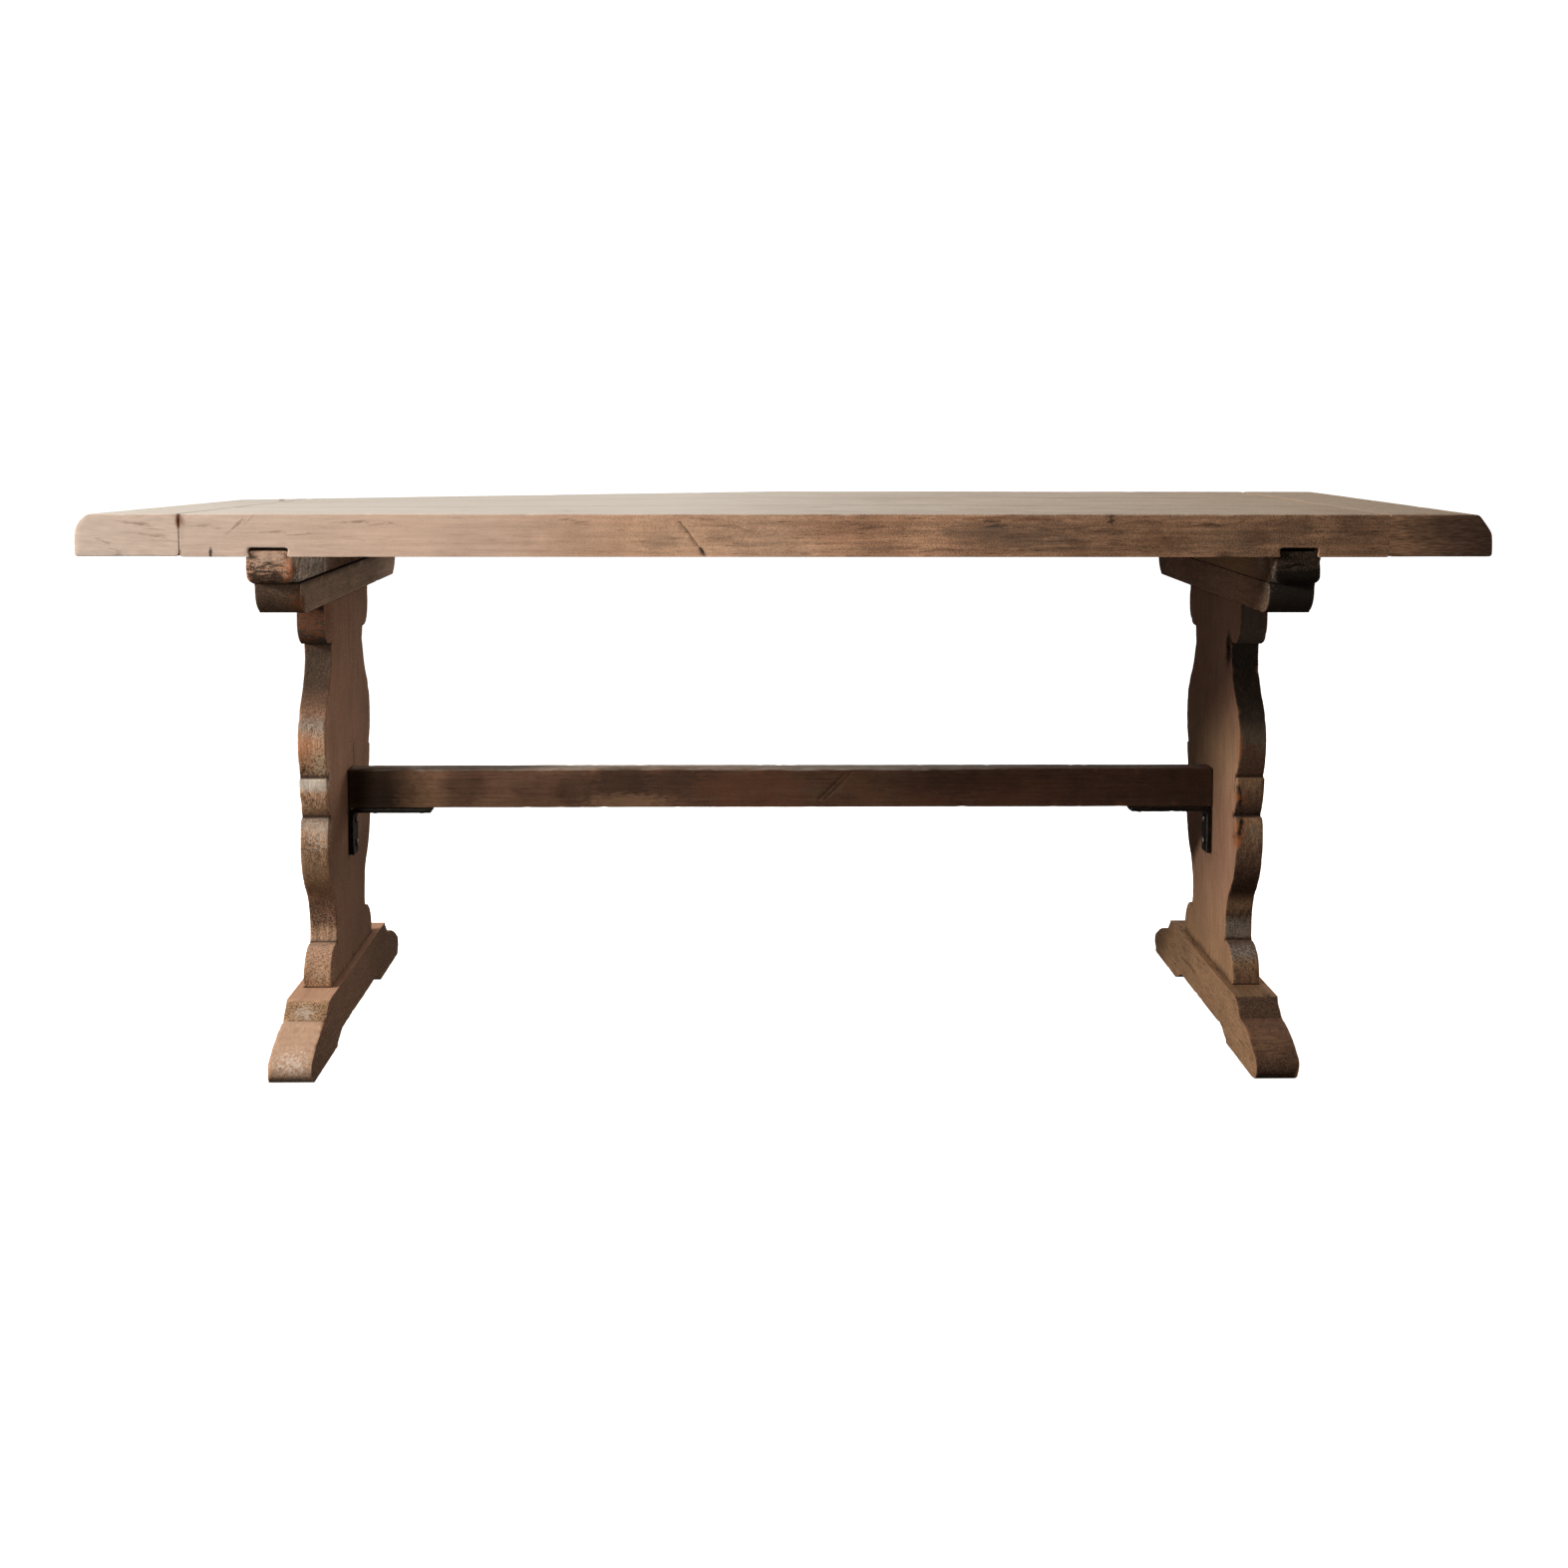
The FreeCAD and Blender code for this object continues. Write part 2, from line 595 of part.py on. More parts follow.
def foot(name, side):
    """Foot with a stepped instep, a sloping toe and a recessed middle between two pads."""
    body = start_body(f"foot_{name}", across=f"{side} * {TRESTLE_X}")
    instep = ("dims.foot_flat / 2", "dims.foot_height")
    step = (f"{instep[0]} + dims.foot_step_run", f"{instep[1]} - dims.foot_step_drop")
    ledge = (f"{step[0]} + dims.toe_ledge", step[1])
    nose = (f"{ledge[0]} + dims.toe_run", f"{ledge[1]} - dims.toe_drop")
    tip = ("dims.foot_length / 2", "dims.nose_height")
    sole = (f"{tip[0]} - dims.nose_under", "0")
    pad_end = (f"{sole[0]} - dims.pad_length", "0")
    recess = (f"{pad_end[0]} - dims.recess_slope", "dims.recess_depth")
    half = [instep, step,
            ledge + (midway(ledge, nose, up="dims.toe_swell"),),
            nose + (tip,),
            sole, pad_end, recess]
    profile = start_sketch(body, "YZ_Plane")
    draw_outline(profile, mirrored(half))
    pad(body, profile, "dims.foot_width")
    tenon_mortises(body, "dims.foot_height", "dims.foot_tenon_height", upwards=False)
    peg_holes(body, side, FOOT_FACE, FOOT_PEG_LEVEL)


# ---------------------------------------------------------------- stretcher and hardware

SCREW_GRIP = "(dims.screw_length - dims.bracket_metal)"


def drop_screw_level(step):
    """Height of a screw in the bracket's upright leg."""
    return f"{STRETCHER_BOTTOM} - dims.bracket_drop + dims.screw_edge + {step} * dims.screw_pitch"


def reach_screw_x(step):
    """Distance from the table's middle of a screw in the bracket's level leg."""
    return f"({STRETCHER_END} - dims.bracket_reach + dims.screw_edge + 2 * {step} * dims.screw_pitch)"


def stretcher():
    """Rail between the posts with a stub tenon on each end."""
    body = start_body("stretcher")
    half = "(dims.stretcher_height / 2)"
    rail = start_sketch(body, "XZ_Plane")
    draw_rectangle(rail, f"-{STRETCHER_END}", STRETCHER_END,
                   f"dims.stretcher_level - {half}", f"dims.stretcher_level + {half}")
    pad(body, rail, "dims.stretcher_thickness")
    for side in SIDES.values():
        stub = start_sketch(body, "XZ_Plane")
        draw_rectangle(stub, f"{side} * {STRETCHER_END}",
                       f"{side} * ({STRETCHER_END} + dims.stub_length)",
                       "dims.stretcher_level - dims.stub_height / 2",
                       "dims.stretcher_level + dims.stub_height / 2")
        pad(body, stub, "dims.stub_thickness")
        for step in range(2):
            hole = start_sketch(body, "XY_Plane", STRETCHER_BOTTOM)
            draw_circle(hole, f"{side} * {reach_screw_x(step)}", "0", SCREW_HOLE)
            pocket(body, hole, f"{SCREW_GRIP} + dims.end_play", symmetric=False)


def bracket(name, side):
    """Steel angle in the corner between a post and the stretcher's underside."""
    body = start_body(f"bracket_{name}")
    outer = STRETCHER_END
    metal = "dims.bracket_metal"
    corners = [(outer, STRETCHER_BOTTOM),
               (outer, f"{STRETCHER_BOTTOM} - dims.bracket_drop"),
               (f"{outer} - {metal}", f"{STRETCHER_BOTTOM} - dims.bracket_drop"),
               (f"{outer} - {metal}", f"{STRETCHER_BOTTOM} - {metal}"),
               (f"{outer} - dims.bracket_reach", f"{STRETCHER_BOTTOM} - {metal}"),
               (f"{outer} - dims.bracket_reach", STRETCHER_BOTTOM)]
    profile = start_sketch(body, "XZ_Plane")
    draw_outline(profile, [sided(corner, side) for corner in corners])
    pad(body, profile, "dims.bracket_width")
    for step in range(2):
        upright = start_sketch(body, "YZ_Plane", f"{side} * ({outer} - {metal} / 2)")
        draw_circle(upright, "0", drop_screw_level(step), SCREW_HOLE)
        pocket(body, upright, f"2 * {metal}")
        level = start_sketch(body, "XY_Plane", f"{STRETCHER_BOTTOM} - {metal} / 2")
        draw_circle(level, f"{side} * {reach_screw_x(step)}", "0", SCREW_HOLE)
        pocket(body, level, f"2 * {metal}")


def screw(name, seat, turn, head_seat):
    """Screw whose shank starts at the seat and whose tapered head stands on it."""
    shank = rod(f"{name}_shank", "dims.screw_diameter", "dims.screw_length", seat, turn)
    head = doc.addObject("Part::Cone", f"{name}_head")
    head.Placement.Rotation = turn
    bind(head, {"Radius1": "dims.screw_head_diameter / 3", "Radius2": "dims.screw_head_diameter / 2",
                "Height": "dims.screw_head_height", "Placement.Base.x": head_seat[0],
                "Placement.Base.y": head_seat[1], "Placement.Base.z": head_seat[2]})
    whole = doc.addObject("Part::Fuse", name)
    whole.Base = shank
    whole.Tool = head
    return whole


def bracket_screws(name, side):
    """Two screws through each leg of a bracket, with their heads on its open faces."""
    face = f"{side} * ({STRETCHER_END} - dims.bracket_metal)"
    head_face = f"{face} - {side} * dims.screw_head_height"
    under = f"{STRETCHER_BOTTOM} - dims.bracket_metal"
    turn = ALONG_X if side > 0 else AGAINST_X
    screws = []
    for step in range(2):
        level = drop_screw_level(step)
        screws.append(screw(f"post_screw_{name}_{step + 1}", (face, "0", level), turn,
                            (head_face, "0", level)))
        across = f"{side} * {reach_screw_x(step)}"
        screws.append(screw(f"rail_screw_{name}_{step + 1}", (across, "0", under),
                            FreeCAD.Rotation(), (across, "0", f"{under} - dims.screw_head_height")))
    group(f"bracket_screws_{name}", screws)


# ---------------------------------------------------------------- build, check, export

def build_table():
    for name, row in PLANK_ROWS.items():
        plank(name, row)
    for name in ("front", "back"):
        plank_spline(name, PLANK_ROWS[name])
    stretcher()
    for name, side in SIDES.items():
        end_board(name, side)
        end_board_pegs(name, side)
        batten(name, side)
        batten_dowels(name, side)
        head_rail(name, side)
        pegs(f"head_pegs_{name}", side, HEAD_FACE, HEAD_PEG_LEVEL)
        post(name, side)
        foot(name, side)
        pegs(f"foot_pegs_{name}", side, FOOT_FACE, FOOT_PEG_LEVEL)
        bracket(name, side)
        bracket_screws(name, side)


def check_document():
    doc.recompute()
    for item in doc.Objects:
        if "Invalid" in item.State or "Error" in item.State:
            raise RuntimeError(f"{item.Name} is {item.State}")
    for node in nodes:
        if node.Shape.isNull() or not node.Shape.isValid() or not node.Shape.Solids:
            raise RuntimeError(f"{node.Label} has no valid shape")


def export_parts():
    os.makedirs("parts", exist_ok=True)
    for node in nodes:
        node.Shape.exportStep(f"parts/{node.Label}.step")
        box = node.Shape.BoundBox
        print(f"{node.Label:24} {len(node.Shape.Solids)} solid(s)  {node.Shape.Volume / 1e6:8.3f} l  "
              f"x {box.XMin:8.1f} {box.XMax:8.1f}  y {box.YMin:7.1f} {box.YMax:7.1f}  "
              f"z {box.ZMin:6.1f} {box.ZMax:6.1f}")


build_table()
check_document()
export_parts()
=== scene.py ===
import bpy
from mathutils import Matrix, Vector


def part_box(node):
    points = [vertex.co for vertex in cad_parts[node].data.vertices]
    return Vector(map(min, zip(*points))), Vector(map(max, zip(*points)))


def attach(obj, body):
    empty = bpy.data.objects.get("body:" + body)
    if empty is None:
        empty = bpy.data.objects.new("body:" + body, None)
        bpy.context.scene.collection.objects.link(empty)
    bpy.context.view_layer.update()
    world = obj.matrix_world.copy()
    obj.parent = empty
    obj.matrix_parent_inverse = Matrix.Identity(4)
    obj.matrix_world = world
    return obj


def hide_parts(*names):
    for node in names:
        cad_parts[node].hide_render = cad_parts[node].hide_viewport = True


bl_info = {
    "name": "Oak trestle table",
    "version": (1, 0, 0),
    "blender": (4, 5, 0),
    "location": "View3D > Sidebar > Trestle table",
    "description": "Dresses a trestle table's frame in worn, sanded oak and blackened steel",
    "category": "Add Mesh",
}

import math
import random
import zlib

import bmesh
import bpy
import numpy as np
from bpy.props import FloatProperty, FloatVectorProperty, PointerProperty
from mathutils import Matrix, Vector, geometry, kdtree, noise

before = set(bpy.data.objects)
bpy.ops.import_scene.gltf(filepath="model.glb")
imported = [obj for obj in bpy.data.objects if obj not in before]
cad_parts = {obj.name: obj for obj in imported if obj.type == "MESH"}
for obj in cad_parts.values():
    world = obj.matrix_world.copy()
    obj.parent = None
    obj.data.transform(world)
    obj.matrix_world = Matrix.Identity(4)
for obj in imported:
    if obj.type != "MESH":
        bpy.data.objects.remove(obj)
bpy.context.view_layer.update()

MM = 0.001
WELD = 1e-5
AXES = "XYZ"
SIDES = {"left": -1, "right": 1}
PLANKS = ("front", "middle", "back")
PLANK_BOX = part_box("top_plank_front")
TOP_LOW, TOP_HIGH = PLANK_BOX[0].z, PLANK_BOX[1].z
TOP_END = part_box("end_board_right")[1].x
PLANK_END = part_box("end_board_right")[0].x
TOP_FRONT, TOP_BACK = PLANK_BOX[0].y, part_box("top_plank_back")[1].y


# ---------------------------------------------------------------- settings

def paint(code):
    """Linear colour of an sRGB hex code."""
    shares = [int(code[place:place + 2], 16) / 255 for place in (1, 3, 5)]
    return [share / 12.92 if share <= 0.04045 else ((share + 0.055) / 1.055) ** 2.4
            for share in shares]


def length(name, description, millimetres):
    return FloatProperty(name=name, description=description, default=millimetres * MM,
                         min=0.0, precision=4, unit="LENGTH")


def power(name, description, watts):
    return FloatProperty(name=name, description=description, default=watts, min=0.0,
                         unit="POWER")


def colour(name, description, code):
    return FloatVectorProperty(name=name, description=description, default=paint(code),
                               min=0.0, max=1.0, subtype="COLOR")


class TableWear(bpy.types.PropertyGroup):
    """How far use has worn the boards, and how finely their faces are divided."""

    arris_round: length("Arris rounding", "Radius of an open, worn arris", 2.2)
    seat_round: length("Seat rounding", "Radius of an arris that meets another board", 0.5)
    hollow: length("Hollowing", "Depth of the broad hollows that planing left", 0.7)
    relief: length("Grain relief", "Depth of the soft grain below the hard grain", 0.25)
    saw_depth: length("Saw marks", "Depth of the bow saw's marks across shaped edges", 0.25)
    saw_pitch: length("Saw pitch", "Distance between saw marks", 4.5)
    dent_depth: length("Dents", "Deepest dent", 0.9)
    end_crown: length("Left end crown", "Bulge of the worn bevel at the left end", 4.5)
    back_drop: length("Back corner drop", "Wind of the top: its back left corner is thinner", 15.0)
    joint_gap: length("Joint gap", "Shrinkage gap between the planks and the left end board", 0.9)
    outline_step: length("Outline step", "Distance between points along a board's outline", 3.0)
    row_step: length("Row step", "Distance between rows across a board's edge", 4.5)
    face_step: length("Face step", "Distance between points inside a flat face", 7.0)


class OakColours(bpy.types.PropertyGroup):
    """Colours of the oak in its different states."""

    bleached: colour("Bleached oak", "Sanded top at its palest", "#cac3ba")
    bleached_mid: colour("Half bleached oak", "Sanded top right of its middle", "#bbb0a3")
    # Partly painted shade of the light falling away at the right end.
    bleached_warm_and_shaded: colour("Warm bleached oak", "Sanded top at the darker end", "#a18b74")
    sanded: colour("Sanded oak", "Front edge at its palest", "#cfbdb0")
    sanded_rose: colour("Rosy sanded oak", "Front edge near the left trestle", "#c6ab98")
    sanded_tan: colour("Tan sanded oak", "Front edge in the middle", "#cca487")
    sanded_amber: colour("Amber sanded oak", "Front edge right of the middle", "#d6a481")
    # Partly painted shade of the light falling away at the right end.
    sanded_brown_and_shaded: colour("Brown sanded oak", "Front edge at the darker end", "#d4a27c")
    pale: colour("Pale bare oak", "Feet and posts where they are rubbed most", "#d2ae94")
    trodden: colour("Trodden oak", "Foot tops beside the posts", "#cba286")
    bare: colour("Bare oak", "Worn through to clean wood", "#c39777")
    tan: colour("Tan oak", "Stain rubbed thin", "#a58161")
    honey: colour("Honey oak", "Stain rubbed thin, and yellowed", "#b89373")
    stained: colour("Stained oak", "Even stain, mostly on broad faces", "#a57d66")
    brown: colour("Brown stain", "Old stain, whole", "#80604d")
    ashen: colour("Ashen stain", "Stain that has gone grey on the broad faces", "#ae9380")
    russet: colour("Russet stain", "Old stain that has gone red", "#74482f")
    umber: colour("Umber stain", "Old stain where it is thick", "#604839")
    maroon: colour("Maroon stain", "Old stain that is thick and red", "#553b2f")
    dark: colour("Dark stain", "Old stain on end grain and shaped edges", "#40342b")
    smoke: colour("Smoky stain", "Old stain gone grey on the right post's cap", "#67584e")
    soot: colour("Sooty stain", "Stain blackened by smoke", "#38332e")
    # Black also paints the shadow of the left post on the stretcher and the shade inside the right
    # post's slot.
    black: colour("Blackened stain", "Stain and soot", "#25211e")
    grey: colour("Weathered grey", "Oak that has gone grey", "#8f8379")
    # Chalk also paints the light on the stretcher's top face.
    chalk_and_light: colour("Chalky paint", "Whitish paint in broad patches", "#cfc4b8")
    # Limed also paints a highlight on the stretcher's top face.
    limed_and_highlight: colour("Limed oak", "Whitish paint where it is thickest", "#efe2d4")
    residue: colour("Paint residue", "Creamy paint left in the pores", "#c9b196")
    orange: colour("Freshly broken oak", "Wood inside a new chip", "#a5663f")
    # Dirt is also the colour of painted shade in hollow corners and in the right post's slot.
    dirt: colour("Dirt", "Dirt in pores, cracks and joints", "#2e231c")
    smear: colour("Grey smear", "Greenish grey stains in the top's edge", "#6e6152")


class SteelColours(bpy.types.PropertyGroup):
    """Colours of the brackets and screws."""

    scale: colour("Mill scale", "Blackened face of the steel", "#24221f")
    rubbed: colour("Rubbed steel", "Bright arris of the steel", "#8d8a86")
    rust: colour("Rust", "Rust bloom on the steel", "#5b3a29")


class StageSettings(bpy.types.PropertyGroup):
    """Light, floor and camera."""

    window_power: power("Window light", "Power of the light from the left", 490.0)
    front_power: power("Front light", "Power of the light on the front edge", 235.0)
    ceiling_power: power("Ceiling light", "Power of the soft light above", 45.0)
    right_power: power("Right fill", "Power of the weak light at the right", 25.0)
    low_power: power("Low fills", "Power of the low right light, and twice that of the left", 40.0)
    back_power: power("Back fill", "Power of the weak light behind", 30.0)
    lens: FloatProperty(name="Lens", description="Focal length of the camera in millimetres",
                        default=48.415, min=1.0, unit="CAMERA")


# ---------------------------------------------------------------- outlines

FLAT_SHARE = 0.99  # least share of a flat face's normal that lies along its axis
SHARP_TURN = math.radians(18)
INSET_STEPS = 5
RELAX = 0.5  # how far points are evened out along an outline after each step inwards
CRACK_STEP = 3 * MM
CRACK_SHAKE = 0.3  # millimetres that a crack strays from its path
GRID_SHAKE, GRID_CLEARANCE = 0.2, 0.55  # shares of the grid's step


def face_outline(node, axis, sign):
    """Corners, anticlockwise, of the flat face where a CAD node ends along an axis."""
    shape = bmesh.new()
    shape.from_mesh(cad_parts[node].data)
    bmesh.ops.remove_doubles(shape, verts=shape.verts, dist=WELD)
    shape.normal_update()
    level = max(sign * vert.co[axis] for vert in shape.verts)
    flat = {face for face in shape.faces if sign * face.normal[axis] > FLAT_SHARE
            and all(level - sign * vert.co[axis] < WELD for vert in face.verts)}
    links = {}
    for edge in shape.edges:
        if sum(face in flat for face in edge.link_faces) == 1:
            for vert in edge.verts:
                links.setdefault(vert, []).append(edge.other_vert(vert))
    loops = []
    while links:
        loop = [next(iter(links))]
        while loop[-1] in links:
            ahead = [vert for vert in links.pop(loop[-1]) if vert in links]
            if ahead:
                loop.append(ahead[0])
        loops.append([tuple(vert.co[i] for i in range(3) if i != axis) for vert in loop])
    shape.free()
    return anticlockwise(max(loops, key=perimeter))


def perimeter(corners):
    return sum(math.dist(corners[i - 1], corners[i]) for i in range(len(corners)))


def anticlockwise(corners):
    area = sum(corners[i - 1][0] * corners[i][1] - corners[i][0] * corners[i - 1][1]
               for i in range(len(corners)))
    return corners if area > 0 else corners[::-1]


def walk(corners, step):
    """Even steps along an outline. Smooth stretches are evened, and corners are eased a little."""
    corners = np.array(corners)
    points, sharp = [], []
    for i, here in enumerate(corners):
        back = here - corners[i - 1]
        ahead = corners[(i + 1) % len(corners)] - here
        turn = abs(math.remainder(math.atan2(*ahead[::-1]) - math.atan2(*back[::-1]), math.tau))
        pieces = max(1, round(np.linalg.norm(ahead) / step))
        points += [here + ahead * k / pieces for k in range(pieces)]
        sharp += [turn > SHARP_TURN] + [False] * (pieces - 1)
    points, sharp = np.array(points), np.array(sharp)
    for ease_corners in (False, False, False, True):
        eased = (np.roll(points, 1, 0) + 2 * points + np.roll(points, -1, 0)) / 4
        points = eased if ease_corners else np.where(sharp[:, None], points, eased)
    return points


def inset(points, depths):
    """Outline moved inwards by a depth of its own at each point, without folds at corners."""
    moved = points.copy()
    for _ in range(INSET_STEPS):
        along = np.roll(moved, -1, 0) - np.roll(moved, 1, 0)
        along /= np.linalg.norm(along, axis=1)[:, None]
        moved += np.stack([-along[:, 1], along[:, 0]], 1) * (depths / INSET_STEPS)[:, None]
        slack = (np.roll(moved, -1, 0) + np.roll(moved, 1, 0)) / 2 - moved
        moved += RELAX * along * (slack * along).sum(1)[:, None]
    return moved


def inside(points, ring):
    """Whether each point lies inside a closed ring."""
    held = np.zeros(len(points), bool)
    for (ax, ay), (bx, by) in zip(ring, np.roll(ring, -1, 0)):
        if ay == by:
            continue
        crosses = (points[:, 1] > ay) != (points[:, 1] > by)
        reach = (points[:, 1] - ay) / (by - ay) * (bx - ax) + ax
        held ^= crosses & (points[:, 0] < reach)
    return held


def nearest(points, targets):
    """Distance from each 2-D point to the nearest target."""
    tree = kdtree.KDTree(len(targets))
    for index, (across, up) in enumerate(targets):
        tree.insert((across, up, 0.0), index)
    tree.balance()
    return np.array([tree.find((across, up, 0.0))[2] for across, up in points])


def crack(end, path, width, depth, lip=0.15):
    """Crack in the face at one end: its path in metres, its width and depth in millimetres, and
    how much dirt lies on its lips."""
    return {"end": end, "path": path, "width": width * MM, "depth": depth * MM, "lip": lip}


def chip(end, at, reach, depth, bare=0.0):
    """Bite out of the arris at one end: its place in metres, its reach and depth in millimetres,
    and how far it is down to fresh wood."""
    return {"end": end, "at": at, "reach": reach * MM, "depth": depth * MM, "bare": bare}


def crack_lines(gap, ring, rng):
    """A crack's middle line, and the two lips that meet at its ends."""
    path = [Vector(point) for point in gap["path"]]
    middle = []
    for start, end in zip(path, path[1:]):
        pieces = max(2, round((end - start).length / CRACK_STEP))
        middle += [start.lerp(end, k / pieces) for k in range(pieces)]
    middle = np.array([tuple(point) for point in middle + [path[-1]]])
    along = np.gradient(middle, axis=0)
    across = np.stack([-along[:, 1], along[:, 0]], 1) / np.linalg.norm(along, axis=1)[:, None]
    shake = np.array([rng.uniform(-CRACK_SHAKE, CRACK_SHAKE) * MM for _ in middle])
    middle = middle + across * shake[:, None]
    held = inside(middle, ring) & (nearest(middle, ring) > gap["width"])
    middle, across = middle[held], across[held]
    swell = np.sin(np.linspace(0, math.pi, len(middle))) ** 0.5 * gap["width"] / 2
    lips = [(middle + side * across * swell[:, None])[1:-1] for side in (-1, 1)]
    return middle, lips, swell / max(swell.max(), WELD)


def flat_face(ring, step, cracks, rng):
    """Triangles that close a ring. Returns the points added, how deep each one is and how dark it is
    painted (dirt in cracks, and painted shade deep in the right post's slot), where each corner
    comes from, and the triangles."""
    extra, depths, grime_and_shade, ties = [], [], [], []
    for gap in cracks:
        middle, lips, share = crack_lines(gap, ring, rng)
        if len(middle) < 3:
            continue
        lip_depths, lip_grime = [0.0] * len(lips[0]), [gap["lip"]] * len(lips[0])
        for line, line_depths, line_grime in ((middle, share * gap["depth"], share),
                                              (lips[0], lip_depths, lip_grime),
                                              (lips[1], lip_depths, lip_grime)):
            first = len(ring) + len(extra)
            extra += [tuple(point) for point in line]
            depths += list(line_depths)
            grime_and_shade += list(line_grime)
            ties += [(first + k, first + k + 1) for k in range(len(line) - 1)]
    low, high = ring.min(0), ring.max(0)
    grid = [(across + rng.uniform(-GRID_SHAKE, GRID_SHAKE) * step,
             up + rng.uniform(-GRID_SHAKE, GRID_SHAKE) * step)
            for across in np.arange(low[0] + step / 2, high[0], step)
            for up in np.arange(low[1] + step / 2, high[1], step)]
    grid = np.array(grid).reshape(-1, 2)
    grid = grid[inside(grid, ring)]
    near = nearest(grid, np.vstack([ring, np.array(extra).reshape(-1, 2)]))
    grid = grid[near > GRID_CLEARANCE * step]
    total = [Vector(point) for points in (ring, extra, grid) for point in points]
    found = geometry.delaunay_2d_cdt(total, ties, [list(range(len(ring)))], 1, 1e-7, True)
    depths += [0.0] * len(grid)
    grime_and_shade += [0.0] * len(grid)
    places, made, made_depths, made_grime = [], [], [], []
    for point, sources in zip(found[0], found[3]):
        if sources and sources[0] < len(ring):
            places.append(("ring", sources[0]))
            continue
        places.append(("new", len(made)))
        made.append(tuple(point))
        made_depths.append(depths[sources[0] - len(ring)] if sources else 0.0)
        made_grime.append(grime_and_shade[sources[0] - len(ring)] if sources else 0.0)
    triangles = np.array(found[2])
    centres = np.array(found[0])[triangles].mean(1)
    triangles = triangles[inside(centres, ring)]
    return np.array(made).reshape(-1, 2), made_depths, made_grime, places, triangles.tolist()


# ---------------------------------------------------------------- worn boards

ROUND_ANGLES = [math.radians(angle) for angle in (90, 60, 30, 0)]
ROUND_CHANGE, ROUND_PITCH = 0.45, 30  # share by which a rounding varies, and waves to the metre
RUB_SPILL = 0.2  # rubbing that spreads beyond the arris
JOINT_REACH = 1.5 * MM  # how far from a joint its board counts as covered, and dirt spreads
SEAT_FADE = 4 * MM  # wear fades out over this distance from a seat
CREASE_START, CREASE_SPREAD, CREASE_MOST = 0.4, 0.8, 0.9  # turns in radians, and the most dirt and painted shade
HOLLOW_SIZE, GRAIN_SIZE, RIPPLE_SIZE, SAW_DRIFT = 0.16, 0.004, 0.012, 0.02  # metres
FIBRE_SQUEEZE = 0.06  # how much slower grain relief changes along the grain


def arris_radii(points, wear, seats, chips, axis, rng):
    """Rounding, rubbing and bareness of an arris at each point of the outline."""
    plane = [i for i in range(3) if i != axis]
    shift = rng.uniform(0, 50)
    waves = [noise.noise((x * ROUND_PITCH + shift, y * ROUND_PITCH, 0.5)) for x, y in points]
    radii = np.array([wear.arris_round * (1 + ROUND_CHANGE * wave) for wave in waves])
    rubbing = np.ones(len(points))
    for seat_axis, level in seats:
        if seat_axis != axis:
            close = abs(points[:, plane.index(seat_axis)] - level) < JOINT_REACH
            radii[close] = wear.seat_round
            rubbing[close] = 0.0
    bare = np.zeros(len(points))
    for bite in chips:
        away = np.linalg.norm(points - np.array(bite["at"]), axis=1) / bite["reach"]
        share = np.exp(-away ** 2)
        radii += share * bite["depth"]
        bare = np.maximum(bare, share * bite["bare"])
    return radii, rubbing, bare


def creases(points):
    """How far each point of an outline lies in a hollow corner, where dirt stays and shade falls.
    The dark colour laid there is dirt and painted shade.
    """
    back = points - np.roll(points, 2, 0)
    ahead = np.roll(points, -2, 0) - points
    turn = np.arctan2(back[:, 0] * ahead[:, 1] - back[:, 1] * ahead[:, 0], (back * ahead).sum(1))
    return np.clip((-turn - CREASE_START) / CREASE_SPREAD, 0, CREASE_MOST)


def random_chips(end, points, count, rng):
    """Small bites out of an arris."""
    chosen = [points[rng.randrange(len(points))] for _ in range(count)]
    return [chip(end, tuple(point), rng.uniform(2, 8), rng.uniform(0.6, 2.6), rng.uniform(0.0, 0.3))
            for point in chosen]


def field(places, size, stretch=(1, 1, 1)):
    """Smooth noise from -1 to 1 over places, with features of a given size."""
    scaled = places * np.array(stretch) / size
    return np.array([noise.noise(place) for place in scaled.tolist()])


def weathered(places, normals, grain, seats, walls, wear, rng, saw_marks=0.0, dents=30):
    """Places moved inwards by planing hollows, grain relief, saw marks and dents, but not where
    they touch a seat."""
    shift = np.array([rng.uniform(0, 9) for _ in range(3)])
    along = np.ones(3)
    along[grain] = FIBRE_SQUEEZE
    moved = places + shift
    depth = wear.hollow * (0.5 + 0.5 * field(moved, HOLLOW_SIZE))
    grained = wear.relief * (0.5 + 0.5 * field(moved, GRAIN_SIZE, along))
    depth += grained * (1 - abs(normals[:, grain]))
    depth += wear.relief * (0.5 + 0.5 * field(moved, RIPPLE_SIZE))
    if saw_marks:
        ripple = np.sin(places[:, 2] * math.tau / wear.saw_pitch + 3 * field(moved, SAW_DRIFT))
        depth += walls * saw_marks * wear.saw_depth * (0.5 + 0.5 * ripple)
    for _ in range(dents):
        centre = places[rng.randrange(len(places))]
        reach = rng.uniform(2, 7) * MM
        share = np.exp(-((places - centre) ** 2).sum(1) / reach ** 2)
        depth += share * rng.uniform(0.2, 1.0) * wear.dent_depth
    for axis, level in seats:
        depth *= np.clip(abs(places[:, axis] - level) / SEAT_FADE, 0, 1)
    return places - normals * depth[:, None]


